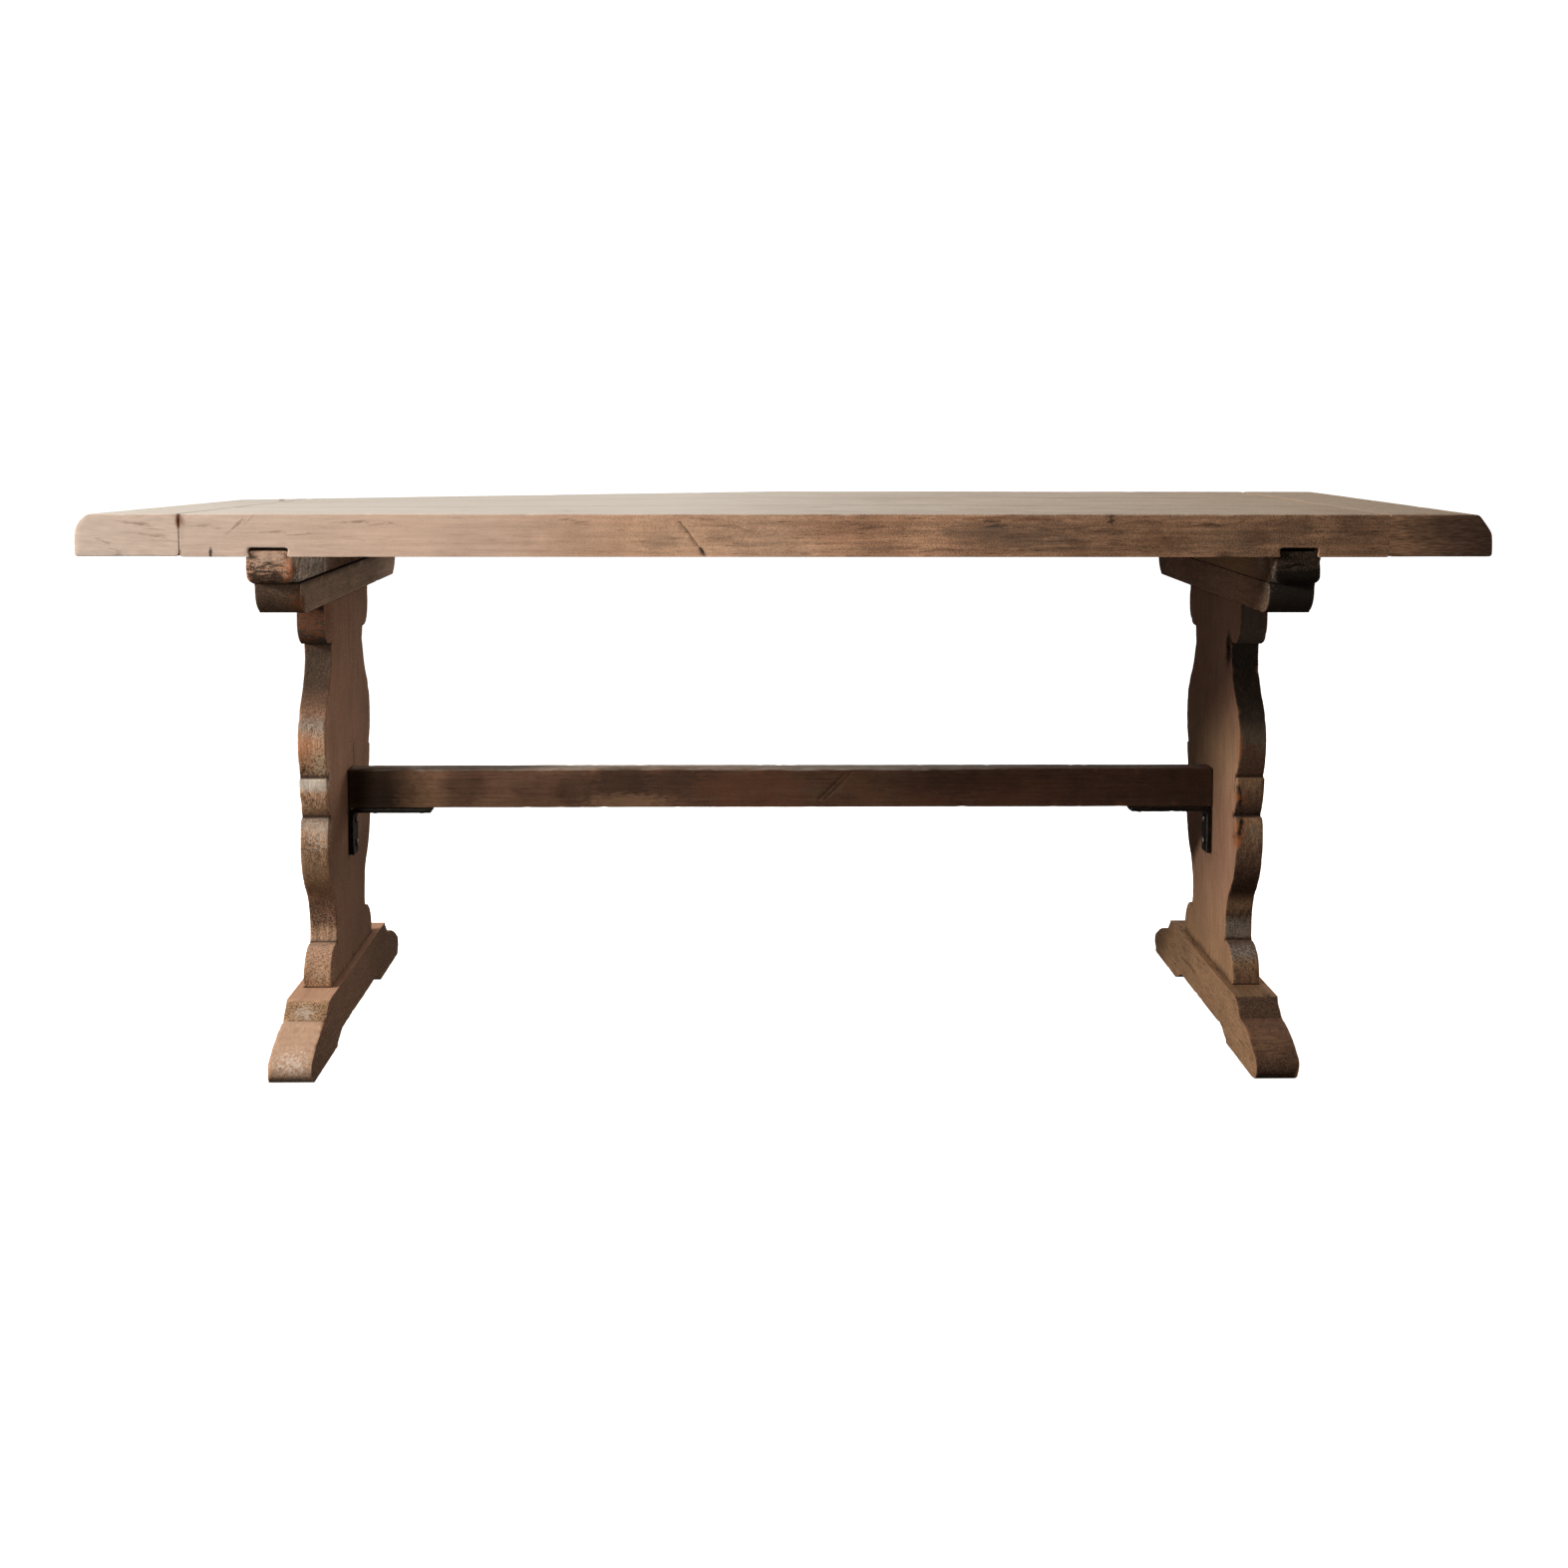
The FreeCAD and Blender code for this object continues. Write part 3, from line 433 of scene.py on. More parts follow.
def worn_board(name, corners, axis, near, far, grain, *, seats=(), chips=(), cracks=(), grimy=(),
               step=None, row_step=None, face_step=None, saw_marks=0.0, dents=30,
               chip_count=10, hollow_dirt_and_shade=1.0, reshape=None):
    """Board whose outline lies across an axis, from near to far along it, with worn arrises.

    seats are planes where it meets a neighbour, as (axis, level). Chips and cracks name the
    end they are on, 0 for near and 1 for far. grimy lists planes with dirt, as (axis, level, how
    much), and hollow_dirt_and_shade is how much dark colour lies in hollow corners of the outline,
    as dirt and as painted shade. reshape moves the places of the finished board."""
    wear = bpy.context.scene.table_wear
    rng = random.Random(zlib.crc32(name.encode()))
    points = walk(corners, step or wear.outline_step)
    count = len(points)
    plane = [i for i in range(3) if i != axis]

    def place(flat, level):
        spread = np.zeros((len(flat), 3))
        spread[:, plane] = flat
        spread[:, axis] = level
        return spread

    rings, arris, bare = [], [], []
    for end, level, inward in ((0, near, 1), (1, far, -1)):
        own = [bite for bite in chips if bite["end"] == end]
        own += random_chips(end, points, chip_count, rng)
        radii, rubbing, bareness = arris_radii(points, wear, seats, own, axis, rng)
        if any(seat_axis == axis and abs(seat - level) < WELD for seat_axis, seat in seats):
            radii = np.minimum(radii, wear.seat_round)
        rounds = []
        flat, done = points, 0.0
        for angle in ROUND_ANGLES[::-1]:
            share = 1 - math.cos(angle)
            flat = inset(flat, radii * (share - done)) if share > done else flat
            done = share
            rounds.append((place(flat, level + inward * radii * (1 - math.sin(angle))),
                           rubbing * (math.sin(2 * angle) + RUB_SPILL), bareness))
        rings.append(rounds[::-1] if end == 0 else rounds)
    start, stop = rings[0][-1][0][:, axis], rings[1][0][0][:, axis]
    rows = max(2, round((far - near) / (row_step or wear.row_step)))
    between = [(place(points, start + (stop - start) * k / rows), np.zeros(count), np.zeros(count))
               for k in range(1, rows)]
    stack = rings[0] + between + rings[1]
    places = np.vstack([ring[0] for ring in stack])
    arris = np.concatenate([ring[1] for ring in stack])
    bare = np.concatenate([ring[2] for ring in stack])
    # Hollow corners of the outline get dark colour: dirt, and painted shade in the crease.
    grime_and_shade = np.tile(hollow_dirt_and_shade * creases(points), len(stack))
    walls = np.ones(len(places))
    faces = [(r * count + i, r * count + (i + 1) % count,
              (r + 1) * count + (i + 1) % count, (r + 1) * count + i)
             for r in range(len(stack) - 1) for i in range(count)]
    sunk = np.zeros(len(places))
    for end, level, first in ((0, near, 0), (1, far, (len(stack) - 1) * count)):
        own = [gap for gap in cracks if gap["end"] == end]
        ring = places[first:first + count][:, plane]
        extra, depths, dirt, sources, triangles = flat_face(
            ring, face_step or wear.face_step, own, rng)
        base = len(places)
        places = np.vstack([places, place(extra, level)])
        arris = np.concatenate([arris, np.zeros(len(extra))])
        bare = np.concatenate([bare, np.zeros(len(extra))])
        grime_and_shade = np.concatenate([grime_and_shade, dirt])
        walls = np.concatenate([walls, np.zeros(len(extra))])
        sunk = np.concatenate([sunk, depths])
        lookup = [first + index if kind == "ring" else base + index for kind, index in sources]
        faces += [tuple(lookup[i] for i in triangle) for triangle in triangles]
    for dirt_axis, level, most in grimy:
        close = np.clip(1 - abs(places[:, dirt_axis] - level) / JOINT_REACH, 0, 1)
        grime_and_shade = np.maximum(grime_and_shade, most * close)

    mesh = bpy.data.meshes.new(name)
    mesh.from_pydata(places.tolist(), [], faces)
    tidy = bmesh.new()
    tidy.from_mesh(mesh)
    bmesh.ops.recalc_face_normals(tidy, faces=tidy.faces)
    tidy.to_mesh(mesh)
    tidy.free()
    normals = np.zeros(len(places) * 3)
    mesh.vertex_normals.foreach_get("vector", normals)
    normals = normals.reshape(-1, 3)
    worn = weathered(places, normals, grain, seats, walls, wear, rng, saw_marks, dents)
    worn -= normals * sunk[:, None]
    limits = np.vstack([place(np.array(corners), level) for level in (near, far)])
    worn = np.clip(worn, limits.min(0), limits.max(0))
    if reshape:
        worn = reshape(worn)
    mesh.vertices.foreach_set("co", worn.ravel())
    mesh.update()
    board = np.full(len(places), rng.random())
    # grime holds dirt in joints and cracks, and painted shade in hollow corners and in the right
    # post's slot.
    for key, amounts in (("arris", arris), ("bare", bare), ("grime_and_shade", grime_and_shade), ("board", board)):
        mesh.attributes.new(key, "FLOAT", "POINT").data.foreach_set("value", amounts)
    mesh.shade_smooth()
    return mesh


def dress(mesh, material, slot, *nodes):
    """Show a mesh in place of CAD nodes."""
    mesh.materials.append(material)
    piece = bpy.data.objects.new(mesh.name, mesh)
    bpy.context.scene.collection.objects.link(piece)
    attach(piece, "root")
    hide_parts(*nodes)


# ---------------------------------------------------------------- materials

FACTOR, FIRST, SECOND, MIXED = 0, 6, 7, 2  # sockets of a Mix node that mixes colours
WAVE_PERIOD = 0.314  # distance between the rings of a wave texture whose scale is one
STROKE_DEPTH, STROKE_HEIGHT = 4.5, 3.2  # size of a paint stroke across its length, in millimetres


def add(tree, kind, inputs=None, stops=None, **settings):
    """Node with its settings, the values or links of its sockets, and a ramp's stops."""
    made = tree.nodes.new("ShaderNode" + kind)
    for key, setting in settings.items():
        setattr(made, key, setting)
    for index, (spot, tint) in enumerate(stops or ()):
        elements = made.color_ramp.elements
        stop = elements[index] if index < 2 else elements.new(spot)
        stop.position = spot
        stop.color = (*tint, 1.0)[:4]
    for key, source in (inputs or {}).items():
        if isinstance(source, bpy.types.NodeSocket):
            tree.links.new(source, made.inputs[key])
        else:
            made.inputs[key].default_value = source
    return made


def new_material(name):
    material = bpy.data.materials.new(name)
    material.use_nodes = True
    material.node_tree.nodes.clear()
    return material, material.node_tree


def mark(x, y, z, half_x, half_y, half_z, strength, tint, tilt=0.0, stroke=24.0, ragged=2.0):
    """Stain made of strokes: its centre in metres, half sizes and stroke length in millimetres,
    how far its long axis tilts about Y in degrees, and how ragged it is."""
    return {"at": (x, y, z), "size": (half_x * MM, half_y * MM, half_z * MM),
            "turn": (0.0, math.radians(tilt), 0.0), "strength": strength, "tint": tint,
            "brush": (half_x / stroke, half_y / STROKE_DEPTH, half_z / STROKE_HEIGHT),
            "ragged": ragged}


def oak(name, grain, broad_axis, broad, edge, run, *, pith=(0.0, 0.0, 0.0), ring_width=5.0,
        ring_depth=0.06, line_depth=0.13, calm=0.6, patch_size=85.0, patch_depth=0.12,
        flecks=0.5, blush=0.4, blotches=0.0, speckle=0.8, residue=0.8, rubbed=0.15, shake=0.03,
        gloss=0.30, bump=0.4, lie=1.0, fresh=None, marks=()):
    """Solid oak whose grain runs along an axis.

    Growth rings lie round the pith, so that broad faces show long lines and end grain shows
    arcs. Broad faces look along broad_axis, and their grain is weaker by calm. broad and edge
    list the colours along the run axis as (metres, colour, wear), and wear says how strong the
    pattern is, and how much speckle and paint residue there is. lie stretches the pattern of
    edges along X. Fibres are drawn 2 mm wide and pores 4 mm, which is several times as coarse
    as real oak, so that they show."""
    material, tree = new_material(name)
    tints = bpy.context.scene.oak_colours
    spot = add(tree, "TexCoord").outputs["Object"]
    facing = add(tree, "SeparateXYZ", {0: add(tree, "NewGeometry").outputs["Normal"]})
    facing = add(tree, "Math", {0: facing.outputs[broad_axis]}, operation="ABSOLUTE").outputs[0]
    is_broad = add(tree, "MapRange", {"Value": facing, "From Min": 0.5, "From Max": 0.85},
                   interpolation_type="SMOOTHSTEP").outputs[0]
    is_edge = add(tree, "Math", {0: 1.0, 1: is_broad}, operation="SUBTRACT").outputs[0]

    board = add(tree, "Attribute", attribute_name="board").outputs["Fac"]
    shift = add(tree, "VectorMath", {0: (3.1, 1.7, 2.3), "Scale": board}, operation="SCALE")
    apart = add(tree, "VectorMath", {0: spot, 1: shift.outputs[0]}, operation="ADD").outputs[0]
    if lie != 1.0:
        stretch = add(tree, "Mix", {0: is_edge, 4: (1.0, 1.0, 1.0), 5: (lie, 1.0, 1.0)},
                      data_type="VECTOR").outputs[1]
        apart = add(tree, "VectorMath", {0: apart, 1: stretch}, operation="MULTIPLY").outputs[0]
    from_pith = add(tree, "VectorMath", {0: spot, 1: pith}, operation="SUBTRACT").outputs[0]

    # Along the grain everything is stretched: fibres most, blotches least.
    spaces = {"open": apart}
    for key, source, squeeze in (("fibre", apart, 0.05), ("pore", apart, 0.12),
                                 ("blotch", apart, 0.35), ("ring", from_pith, 0.05)):
        scale = [squeeze if axis == grain else 1.0 for axis in range(3)]
        spaces[key] = add(tree, "VectorMath", {0: source, 1: scale},
                          operation="MULTIPLY").outputs[0]
    # Noise patterns: how each is stretched, the size of its features in millimetres, and detail.
    noises = {}
    for key, space, size, detail in (
            ("lines", "fibre", 4.5, 3.0), ("fibres", "fibre", 1.8, 2.0),
            ("pores", "pore", 4.0, 2.0), ("blotches", "blotch", 26.0, 5.0),
            ("patches", "open", patch_size, 4.0), ("blush", "open", 130.0, 4.0),
            ("pits", "open", 1.7, 2.0), ("streaks", "fibre", 8.0, 5.0)):
        noises[key] = add(tree, "TexNoise", {"Vector": spaces[space], "Scale": 1 / (size * MM),
                                             "Detail": detail, "Roughness": 0.62}).outputs["Fac"]
    rings = add(tree, "TexWave", {"Vector": spaces["ring"], "Distortion": 6.0, "Detail": 3.0,
                                  "Scale": WAVE_PERIOD / (ring_width * MM), "Detail Scale": 0.8},
                wave_type="RINGS", rings_direction=AXES[grain]).outputs["Fac"]

    # Colours along the board, with wear kept in the ramps' alpha. Across the table they are
    # the same both ways from its middle.
    here = add(tree, "SeparateXYZ", {0: spot}).outputs[run]
    if run == 1:
        here = add(tree, "Math", {0: here}, operation="ABSOLUTE").outputs[0]
    shaken = add(tree, "Math", {0: noises["patches"], 1: shake, 2: here},
                 operation="MULTIPLY_ADD").outputs[0]
    bands = []
    for stops in (edge, broad):
        low, high = stops[0][0], stops[-1][0]
        share = add(tree, "MapRange", {"Value": shaken, "From Min": low + shake / 2,
                                       "From Max": high + shake / 2}).outputs[0]
        tones = [((metres - low) / (high - low), (*tint, *(wear or (0.0,))))
                 for metres, tint, *wear in stops]
        bands.append(add(tree, "ValToRGB", {0: share}, tones).outputs)
    body = add(tree, "Mix", {FACTOR: is_broad, FIRST: bands[0]["Color"],
                             SECOND: bands[1]["Color"]}, data_type="RGBA").outputs[MIXED]
    wear = add(tree, "Math", {0: is_edge, 1: bands[0]["Alpha"]}, operation="MULTIPLY").outputs[0]
    wear = add(tree, "Math", {0: is_broad, 1: bands[1]["Alpha"], 2: wear},
               operation="MULTIPLY_ADD").outputs[0]

    # Patterns that make the wood lighter and darker, each by a depth.
    calmed = add(tree, "MapRange", {"Value": is_broad, "To Min": 1.0, "To Max": calm}).outputs[0]
    strong = add(tree, "MapRange", {"Value": wear, "To Min": 0.6, "To Max": 2.6}).outputs[0]
    calmed = add(tree, "Math", {0: calmed, 1: strong}, operation="MULTIPLY").outputs[0]
    for amount, depth in ((rings, ring_depth), (noises["lines"], line_depth),
                          (noises["fibres"], 0.8 * line_depth), (noises["patches"], patch_depth),
                          (noises["pits"], 0.12)):
        shade = add(tree, "MapRange", {"Value": amount, "From Min": 0.3, "From Max": 0.7,
                                       "To Min": -depth, "To Max": depth}).outputs[0]
        shade = add(tree, "Math", {0: shade, 1: calmed, 2: 1.0},
                    operation="MULTIPLY_ADD").outputs[0]
        body = add(tree, "Mix", {FACTOR: 1.0, FIRST: body, SECOND: shade},
                   data_type="RGBA", blend_type="MULTIPLY").outputs[MIXED]

    # Coats over the wood, first to last: noise, where it starts and is full, how much, and colour.
    coats = []
    for key, low, high, most, mask, tint in (
            ("blush", 0.45, 0.70, blush, calmed, tints.russet),
            ("blotches", 0.52, 0.66, blotches, calmed, tints.umber),
            ("streaks", 0.57, 0.66, 0.8 * blotches, calmed, tints.smear),
            ("pores", 0.60, 0.68, flecks, calmed, tints.dirt),
            ("pits", 0.50, 0.38, speckle, wear, tints.dirt),
            ("pits", 0.50, 0.60, residue, wear, tints.residue)):
        if most:
            amount = add(tree, "MapRange", {"Value": noises[key], "From Min": low,
                                            "From Max": high, "To Max": most}).outputs[0]
            amount = add(tree, "Math", {0: amount, 1: mask}, operation="MULTIPLY").outputs[0]
            coats.append((amount, tint))
    for stain in marks:
        centred = add(tree, "Mapping", {"Vector": spot, "Location": stain["at"],
                                        "Rotation": stain["turn"], "Scale": stain["size"]},
                      vector_type="TEXTURE").outputs[0]
        swelling = add(tree, "TexGradient", {0: centred}, gradient_type="SPHERICAL").outputs["Fac"]
        brush = add(tree, "VectorMath", {0: centred, 1: stain["brush"]}, operation="MULTIPLY")
        brush = add(tree, "VectorMath", {0: brush.outputs[0], 1: stain["at"]}, operation="ADD")
        strokes = add(tree, "TexNoise", {"Vector": brush.outputs[0], "Scale": 1.0,
                                         "Detail": 3.0, "Roughness": 0.6}).outputs["Fac"]
        gaps = add(tree, "MapRange", {"Value": strokes, "From Min": 0.42, "From Max": 0.58,
                                      "To Min": -stain["ragged"], "To Max": 0.0}).outputs[0]
        cover = add(tree, "Math", {0: swelling, 1: 2.2, 2: gaps}, operation="MULTIPLY_ADD",
                    use_clamp=True).outputs[0]
        coats.append((add(tree, "Math", {0: cover, 1: stain["strength"]},
                          operation="MULTIPLY").outputs[0], stain["tint"]))
    arris = add(tree, "Attribute", attribute_name="arris").outputs["Fac"]
    arris = add(tree, "Math", {0: arris, 1: noises["lines"]}, operation="MULTIPLY").outputs[0]
    coats.append((add(tree, "Math", {0: arris, 1: 2 * rubbed}, operation="MULTIPLY").outputs[0],
                  tints.bare))
    # The grime coat paints dirt, and also painted shade in hollow corners and in the right post's
    # slot.
    for key, tint in (("bare", fresh or tints.orange), ("grime_and_shade", tints.dirt)):
        coats.append((add(tree, "Attribute", attribute_name=key).outputs["Fac"], tint))
    for amount, tint in coats:
        body = add(tree, "Mix", {FACTOR: amount, FIRST: body, SECOND: (*tint, 1.0)},
                   data_type="RGBA").outputs[MIXED]

    height = noises["fibres"]
    pitted = add(tree, "Math", {0: noises["pits"], 1: wear}, operation="MULTIPLY").outputs[0]
    for source, share in ((noises["lines"], 1.0), (noises["pores"], -0.6), (pitted, 2.5)):
        height = add(tree, "Math", {0: source, 1: share, 2: height},
                     operation="MULTIPLY_ADD").outputs[0]
    raised = add(tree, "Bump", {"Strength": bump, "Distance": 0.6 * MM, "Height": height})
    dullness = add(tree, "MapRange", {"Value": noises["fibres"], "From Min": 0.3,
                                      "From Max": 0.7, "To Min": 0.92, "To Max": 0.76}).outputs[0]
    surface = add(tree, "BsdfPrincipled", {"Base Color": body, "Roughness": dullness, "IOR": 1.5,
                                           "Specular IOR Level": gloss,
                                           "Normal": raised.outputs[0]})
    add(tree, "OutputMaterial", {"Surface": surface.outputs[0]})
    return material


def sanded_plank_oak():
    """Oak plank, planed, sanded and bleached by light. The eye sees a pale greige top with faint
    long lines, and an edge that goes from pinkish to amber, with dark dirt left in its pores. Both
    grow darker and warmer towards the right end, partly as painted shade."""
    tints = bpy.context.scene.oak_colours
    front, deep = TOP_FRONT, 40
    marks = [
        mark(-0.690, front, 0.742, 30, deep, 5, 0.45, tints.umber, -38),
        mark(-0.733, front, 0.738, 30, deep, 4, 0.3, tints.umber),
        mark(-0.728, front, 0.704, 3, deep, 10, 0.9, tints.dirt, 0, 24, 0.4),
        mark(-0.767, front, 0.748, 3, deep, 18, 0.8, tints.russet, 0, 24, 0.6),
        mark(-0.767, front, 0.704, 3, deep, 8, 0.7, tints.russet, 0, 24, 0.6),
        mark(-0.640, front, 0.730, 50, deep, 4, 0.35, tints.umber),
        mark(-0.534, front, 0.743, 50, deep, 4, 0.5, tints.umber),
        mark(-0.269, front, 0.746, 24, deep, 4, 0.7, tints.umber),
        mark(-0.250, front, 0.724, 90, deep, 30, 0.12, tints.smear, 0, 16, 0.8),
        mark(-0.161, front, 0.718, 44, deep, 20, 0.35, tints.smear, 0, 24, 1.0),
        mark(-0.040, front, 0.720, 70, deep, 30, 0.12, tints.smear, 0, 16, 0.8),
        mark(0.060, front, 0.728, 40, deep, 34, 0.12, tints.orange, 0, 12, 0.8),
        mark(-0.124, front, 0.729, 56, deep, 2.4, 0.15, tints.umber, 53, 24, 0.6),
        mark(-0.1075, front, 0.7065, 11, deep, 3.4, 0.6, tints.dirt, 60, 24, 0.3),
        mark(-0.085, front, 0.742, 60, deep, 8, 0.35, tints.umber, 10),
        mark(0.103, front, 0.739, 30, deep, 6, 0.7, tints.umber),
        mark(0.262, front, 0.741, 22, deep, 7, 0.8, tints.dirt),
        mark(0.270, front, 0.727, 150, deep, 24, 0.45, tints.smear, 5, 24, 0.8),
        mark(0.350, front, 0.722, 150, deep, 8, 0.5, tints.umber, 3),
        mark(0.330, front, 0.712, 120, deep, 7, 0.4, tints.umber),
        mark(0.400, front, 0.735, 120, deep, 5, 0.4, tints.dirt),
        mark(0.410, front, 0.747, 8, deep, 16, 0.8, tints.dirt, 0, 8),
        mark(0.445, front, 0.746, 50, deep, 6, 0.45, tints.umber),
        mark(0.560, front, 0.724, 90, deep, 24, 0.3, tints.smear, 0, 24, 0.6),
        mark(0.648, front, 0.739, 36, deep, 22, 0.45, tints.umber, 0, 20, 0.6),
        mark(0.735, front, 0.730, 56, deep, 6, 0.35, tints.umber),
        mark(0.185, front, 0.710, 90, deep, 6, 0.4, tints.umber),
        mark(0.300, front, 0.749, 120, deep, 4, 0.5, tints.russet),
        mark(0.480, front, 0.720, 60, deep, 22, 0.35, tints.russet, 0, 12, 1.0),
        mark(0.530, front, 0.742, 40, deep, 5, 0.6, tints.umber),
        mark(0.600, front, 0.728, 30, deep, 30, 0.35, tints.russet, 0, 12, 1.0),
        mark(0.038, -0.199, TOP_HIGH, 60, 12, 30, 0.6, tints.umber),
        mark(-0.438, -0.282, TOP_HIGH, 34, 8, 30, 0.6, tints.umber),
        mark(-0.300, -0.295, TOP_HIGH, 50, 8, 30, 0.6, tints.umber),
        mark(0.600, 0.360, TOP_HIGH, 70, 20, 30, 0.8, tints.dirt),
    ]
    rng = random.Random(7)
    # Faint stains scattered over the right half of the top.
    marks += [mark(rng.uniform(0.0, 0.75), rng.uniform(-0.38, 0.36), TOP_HIGH, rng.uniform(50, 150),
                   rng.uniform(9, 16), 30, rng.uniform(0.2, 0.45), tints.umber) for _ in range(12)]
    # Both lists darken and warm towards the right end. This is partly painted shade, standing for
    # the light falling away to the right.
    broad = [(-TOP_END, tints.bleached), (-0.15, tints.bleached), (0.25, tints.bleached_mid, 0.8),
             (TOP_END, tints.bleached_warm_and_shaded, 1.0)]
    edge = [(-TOP_END, tints.sanded), (-0.50, tints.sanded_rose), (-0.38, tints.sanded_rose),
            (-0.20, tints.sanded_tan, 0.3), (0.0, tints.sanded_tan, 0.6),
            (0.12, tints.sanded_amber, 0.7), (TOP_END, tints.sanded_brown_and_shaded, 0.9)]
    return oak("oak_plank_sanded", 0, 2, broad, edge, 0, pith=(0, -0.1, 1.1), ring_width=9.0,
               ring_depth=0.04, line_depth=0.095, calm=0.36, patch_depth=0.08, flecks=0.25,
               blush=0.25, blotches=0.18, speckle=0.4, residue=0.35, rubbed=0.06, bump=0.35,
               fresh=tints.russet, marks=marks)


def sanded_end_board_oak():
    """Oak cross board, sanded. Its front shows end grain whose growth rings lie almost level,
    soft and pinkish at the left end, and brown at the right end, where the darker brown and umber
    are partly painted shade."""
    tints = bpy.context.scene.oak_colours
    front, deep = TOP_FRONT, 40
    marks = [mark(-0.815, front, 0.740, 36, deep, 5, 0.5, tints.umber, 8),
             mark(-0.795, front, 0.725, 48, deep, 6, 0.35, tints.umber, 8),
             mark(-0.858, front, 0.716, 22, deep, 5, 0.3, tints.umber, 30, 8),
             mark(-0.769, front, 0.748, 3, deep, 18, 0.8, tints.russet, 0, 24, 0.6),
             # Dark patch on the right end's front: partly painted shade.
             mark(0.825, front, 0.735, 80, deep, 34, 0.4, tints.umber, 0, 20, 0.8)]
    broad = [(-TOP_END, tints.bleached), (0.0, tints.bleached), (TOP_END, tints.bleached_warm_and_shaded, 0.9)]
    # Towards the right end the front darkens to brown and umber, partly as painted shade.
    edge = [(-TOP_END, tints.sanded), (0.0, tints.sanded_tan, 0.1), (0.78, tints.sanded_brown_and_shaded, 0.8),
            (0.86, tints.brown, 0.6), (TOP_END, tints.umber, 0.6)]
    return oak("oak_end_board_sanded", 1, 2, broad, edge, 0, pith=(0, 0, -0.2),
               ring_width=22.0, ring_depth=0.02, line_depth=0.09, calm=0.35, patch_depth=0.06,
               flecks=0.15, blush=0.2, blotches=0.10, speckle=0.5, residue=0.2, rubbed=0.04,
               bump=0.3, lie=0.10, fresh=tints.russet, marks=marks)


def batten_oak(side):
    """Oak bearer, never finished. The left one has gone grey, with whitish paint on its sides
    near the ends and brown end grain, and the right one has gone nearly black."""
    tints = bpy.context.scene.oak_colours
    low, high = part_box(f"batten_{side}")
    if side == "left":
        inner = high.x
        edge = [(0.0, tints.grey, 0.3), (0.34, tints.grey, 0.4), (0.37, tints.stained, 0.6),
                (0.40, tints.stained, 0.6)]
        broad = [(0.0, tints.umber, 0.3), (0.15, tints.brown, 0.4), (0.21, tints.chalk_and_light, 0.6),
                 (0.26, tints.chalk_and_light, 0.5), (0.30, tints.limed_and_highlight, 0.5), (0.40, tints.limed_and_highlight, 0.5)]
        # Dark band along the bottom of the end, under its rounding, darkest at the bottom.
        marks = [mark(-0.656, low.y, 0.664, 110, 70, 34, 0.9, tints.dirt, 0, 16, 1.0),
                 mark(-0.628, low.y, 0.684, 18, 60, 24, 0.6, tints.orange, 0, 10, 1.2),
                 mark(-0.662, low.y, 0.702, 60, 60, 24, 0.6, tints.sanded_rose, 0, 10, 1.2),
                 mark(inner, -0.295, 0.676, 30, 26, 34, 0.4, tints.black, 0, 5),
                 mark(inner, -0.365, 0.670, 30, 10, 24, 0.4, tints.black, 0, 5)]
        return oak("oak_batten_greyed", 1, 0, broad, edge, 1, pith=(-0.64, 0, 0.60),
                   ring_depth=0.03, line_depth=0.10, calm=1.0, patch_size=16.0, patch_depth=0.40,
                   flecks=0.3, blush=0.25, blotches=0.2, speckle=0.7, shake=0.02, gloss=0.12,
                   bump=0.6, marks=marks)
    edge = [(0.0, tints.umber), (0.385, tints.dark, 0.2), (0.40, tints.dark, 0.3)]
    broad = [(0.0, tints.tan), (0.20, tints.tan, 0.2), (0.30, tints.brown, 0.3),
             (0.36, tints.umber, 0.3), (0.40, tints.umber, 0.3)]
    marks = [mark(0.652, low.y, 0.664, 140, 50, 34, 0.95, tints.black, 0, 20, 0.6),
             mark(low.x, -0.378, 0.686, 30, 20, 24, 0.7, tints.grey, 0, 5),
             mark(low.x, -0.318, 0.688, 30, 34, 26, 0.7, tints.grey, 0, 5)]
    return oak("oak_batten_blackened", 1, 0, broad, edge, 1, pith=(0.64, 0, 0.60),
               flecks=0.3, blush=0.2, blotches=0.2, rubbed=0.0, shake=0.02, gloss=0.08,
               bump=0.6, fresh=tints.umber, marks=marks)


def head_rail_oak(side):
    """Oak head rail with old stain that is darkest on its ends. The broad faces of the left one
    have gone grey, and those of the right one are brown."""
    tints = bpy.context.scene.oak_colours
    low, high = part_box(f"head_rail_{side}")
    if side == "left":
        broad = [(0.0, tints.ashen, 0.5), (0.40, tints.ashen, 0.5)]
        edge = [(0.0, tints.brown), (0.33, tints.umber, 0.1), (0.367, tints.dark, 0.1)]
        marks = [mark(high.x, -0.352, 0.636, 40, 20, 22, 0.6, tints.russet, 0, 10, 1.2),
                 mark(high.x - 0.008, low.y, 0.636, 16, 30, 26, 0.5, tints.russet, 0, 10, 1.2)]
    else:
        broad = [(0.0, tints.stained, 0.4), (0.20, tints.stained, 0.4), (0.29, tints.brown, 0.4),
                 (0.345, tints.umber, 0.4), (0.40, tints.umber, 0.4)]
        edge = [(0.0, tints.umber), (0.33, tints.dark), (0.367, tints.soot)]
        marks = [mark(low.x, -0.350, 0.658, 30, 26, 14, 0.5, tints.grey, 0, 5)]
    return oak(f"oak_head_rail_stained_{side}", 1, 0, broad, edge, 1, pith=(0, 0, 0.50),
               flecks=0.3, blush=0.20, blotches=0.25, rubbed=0.02, gloss=0.10, bump=0.4,
               fresh=tints.russet, marks=marks)


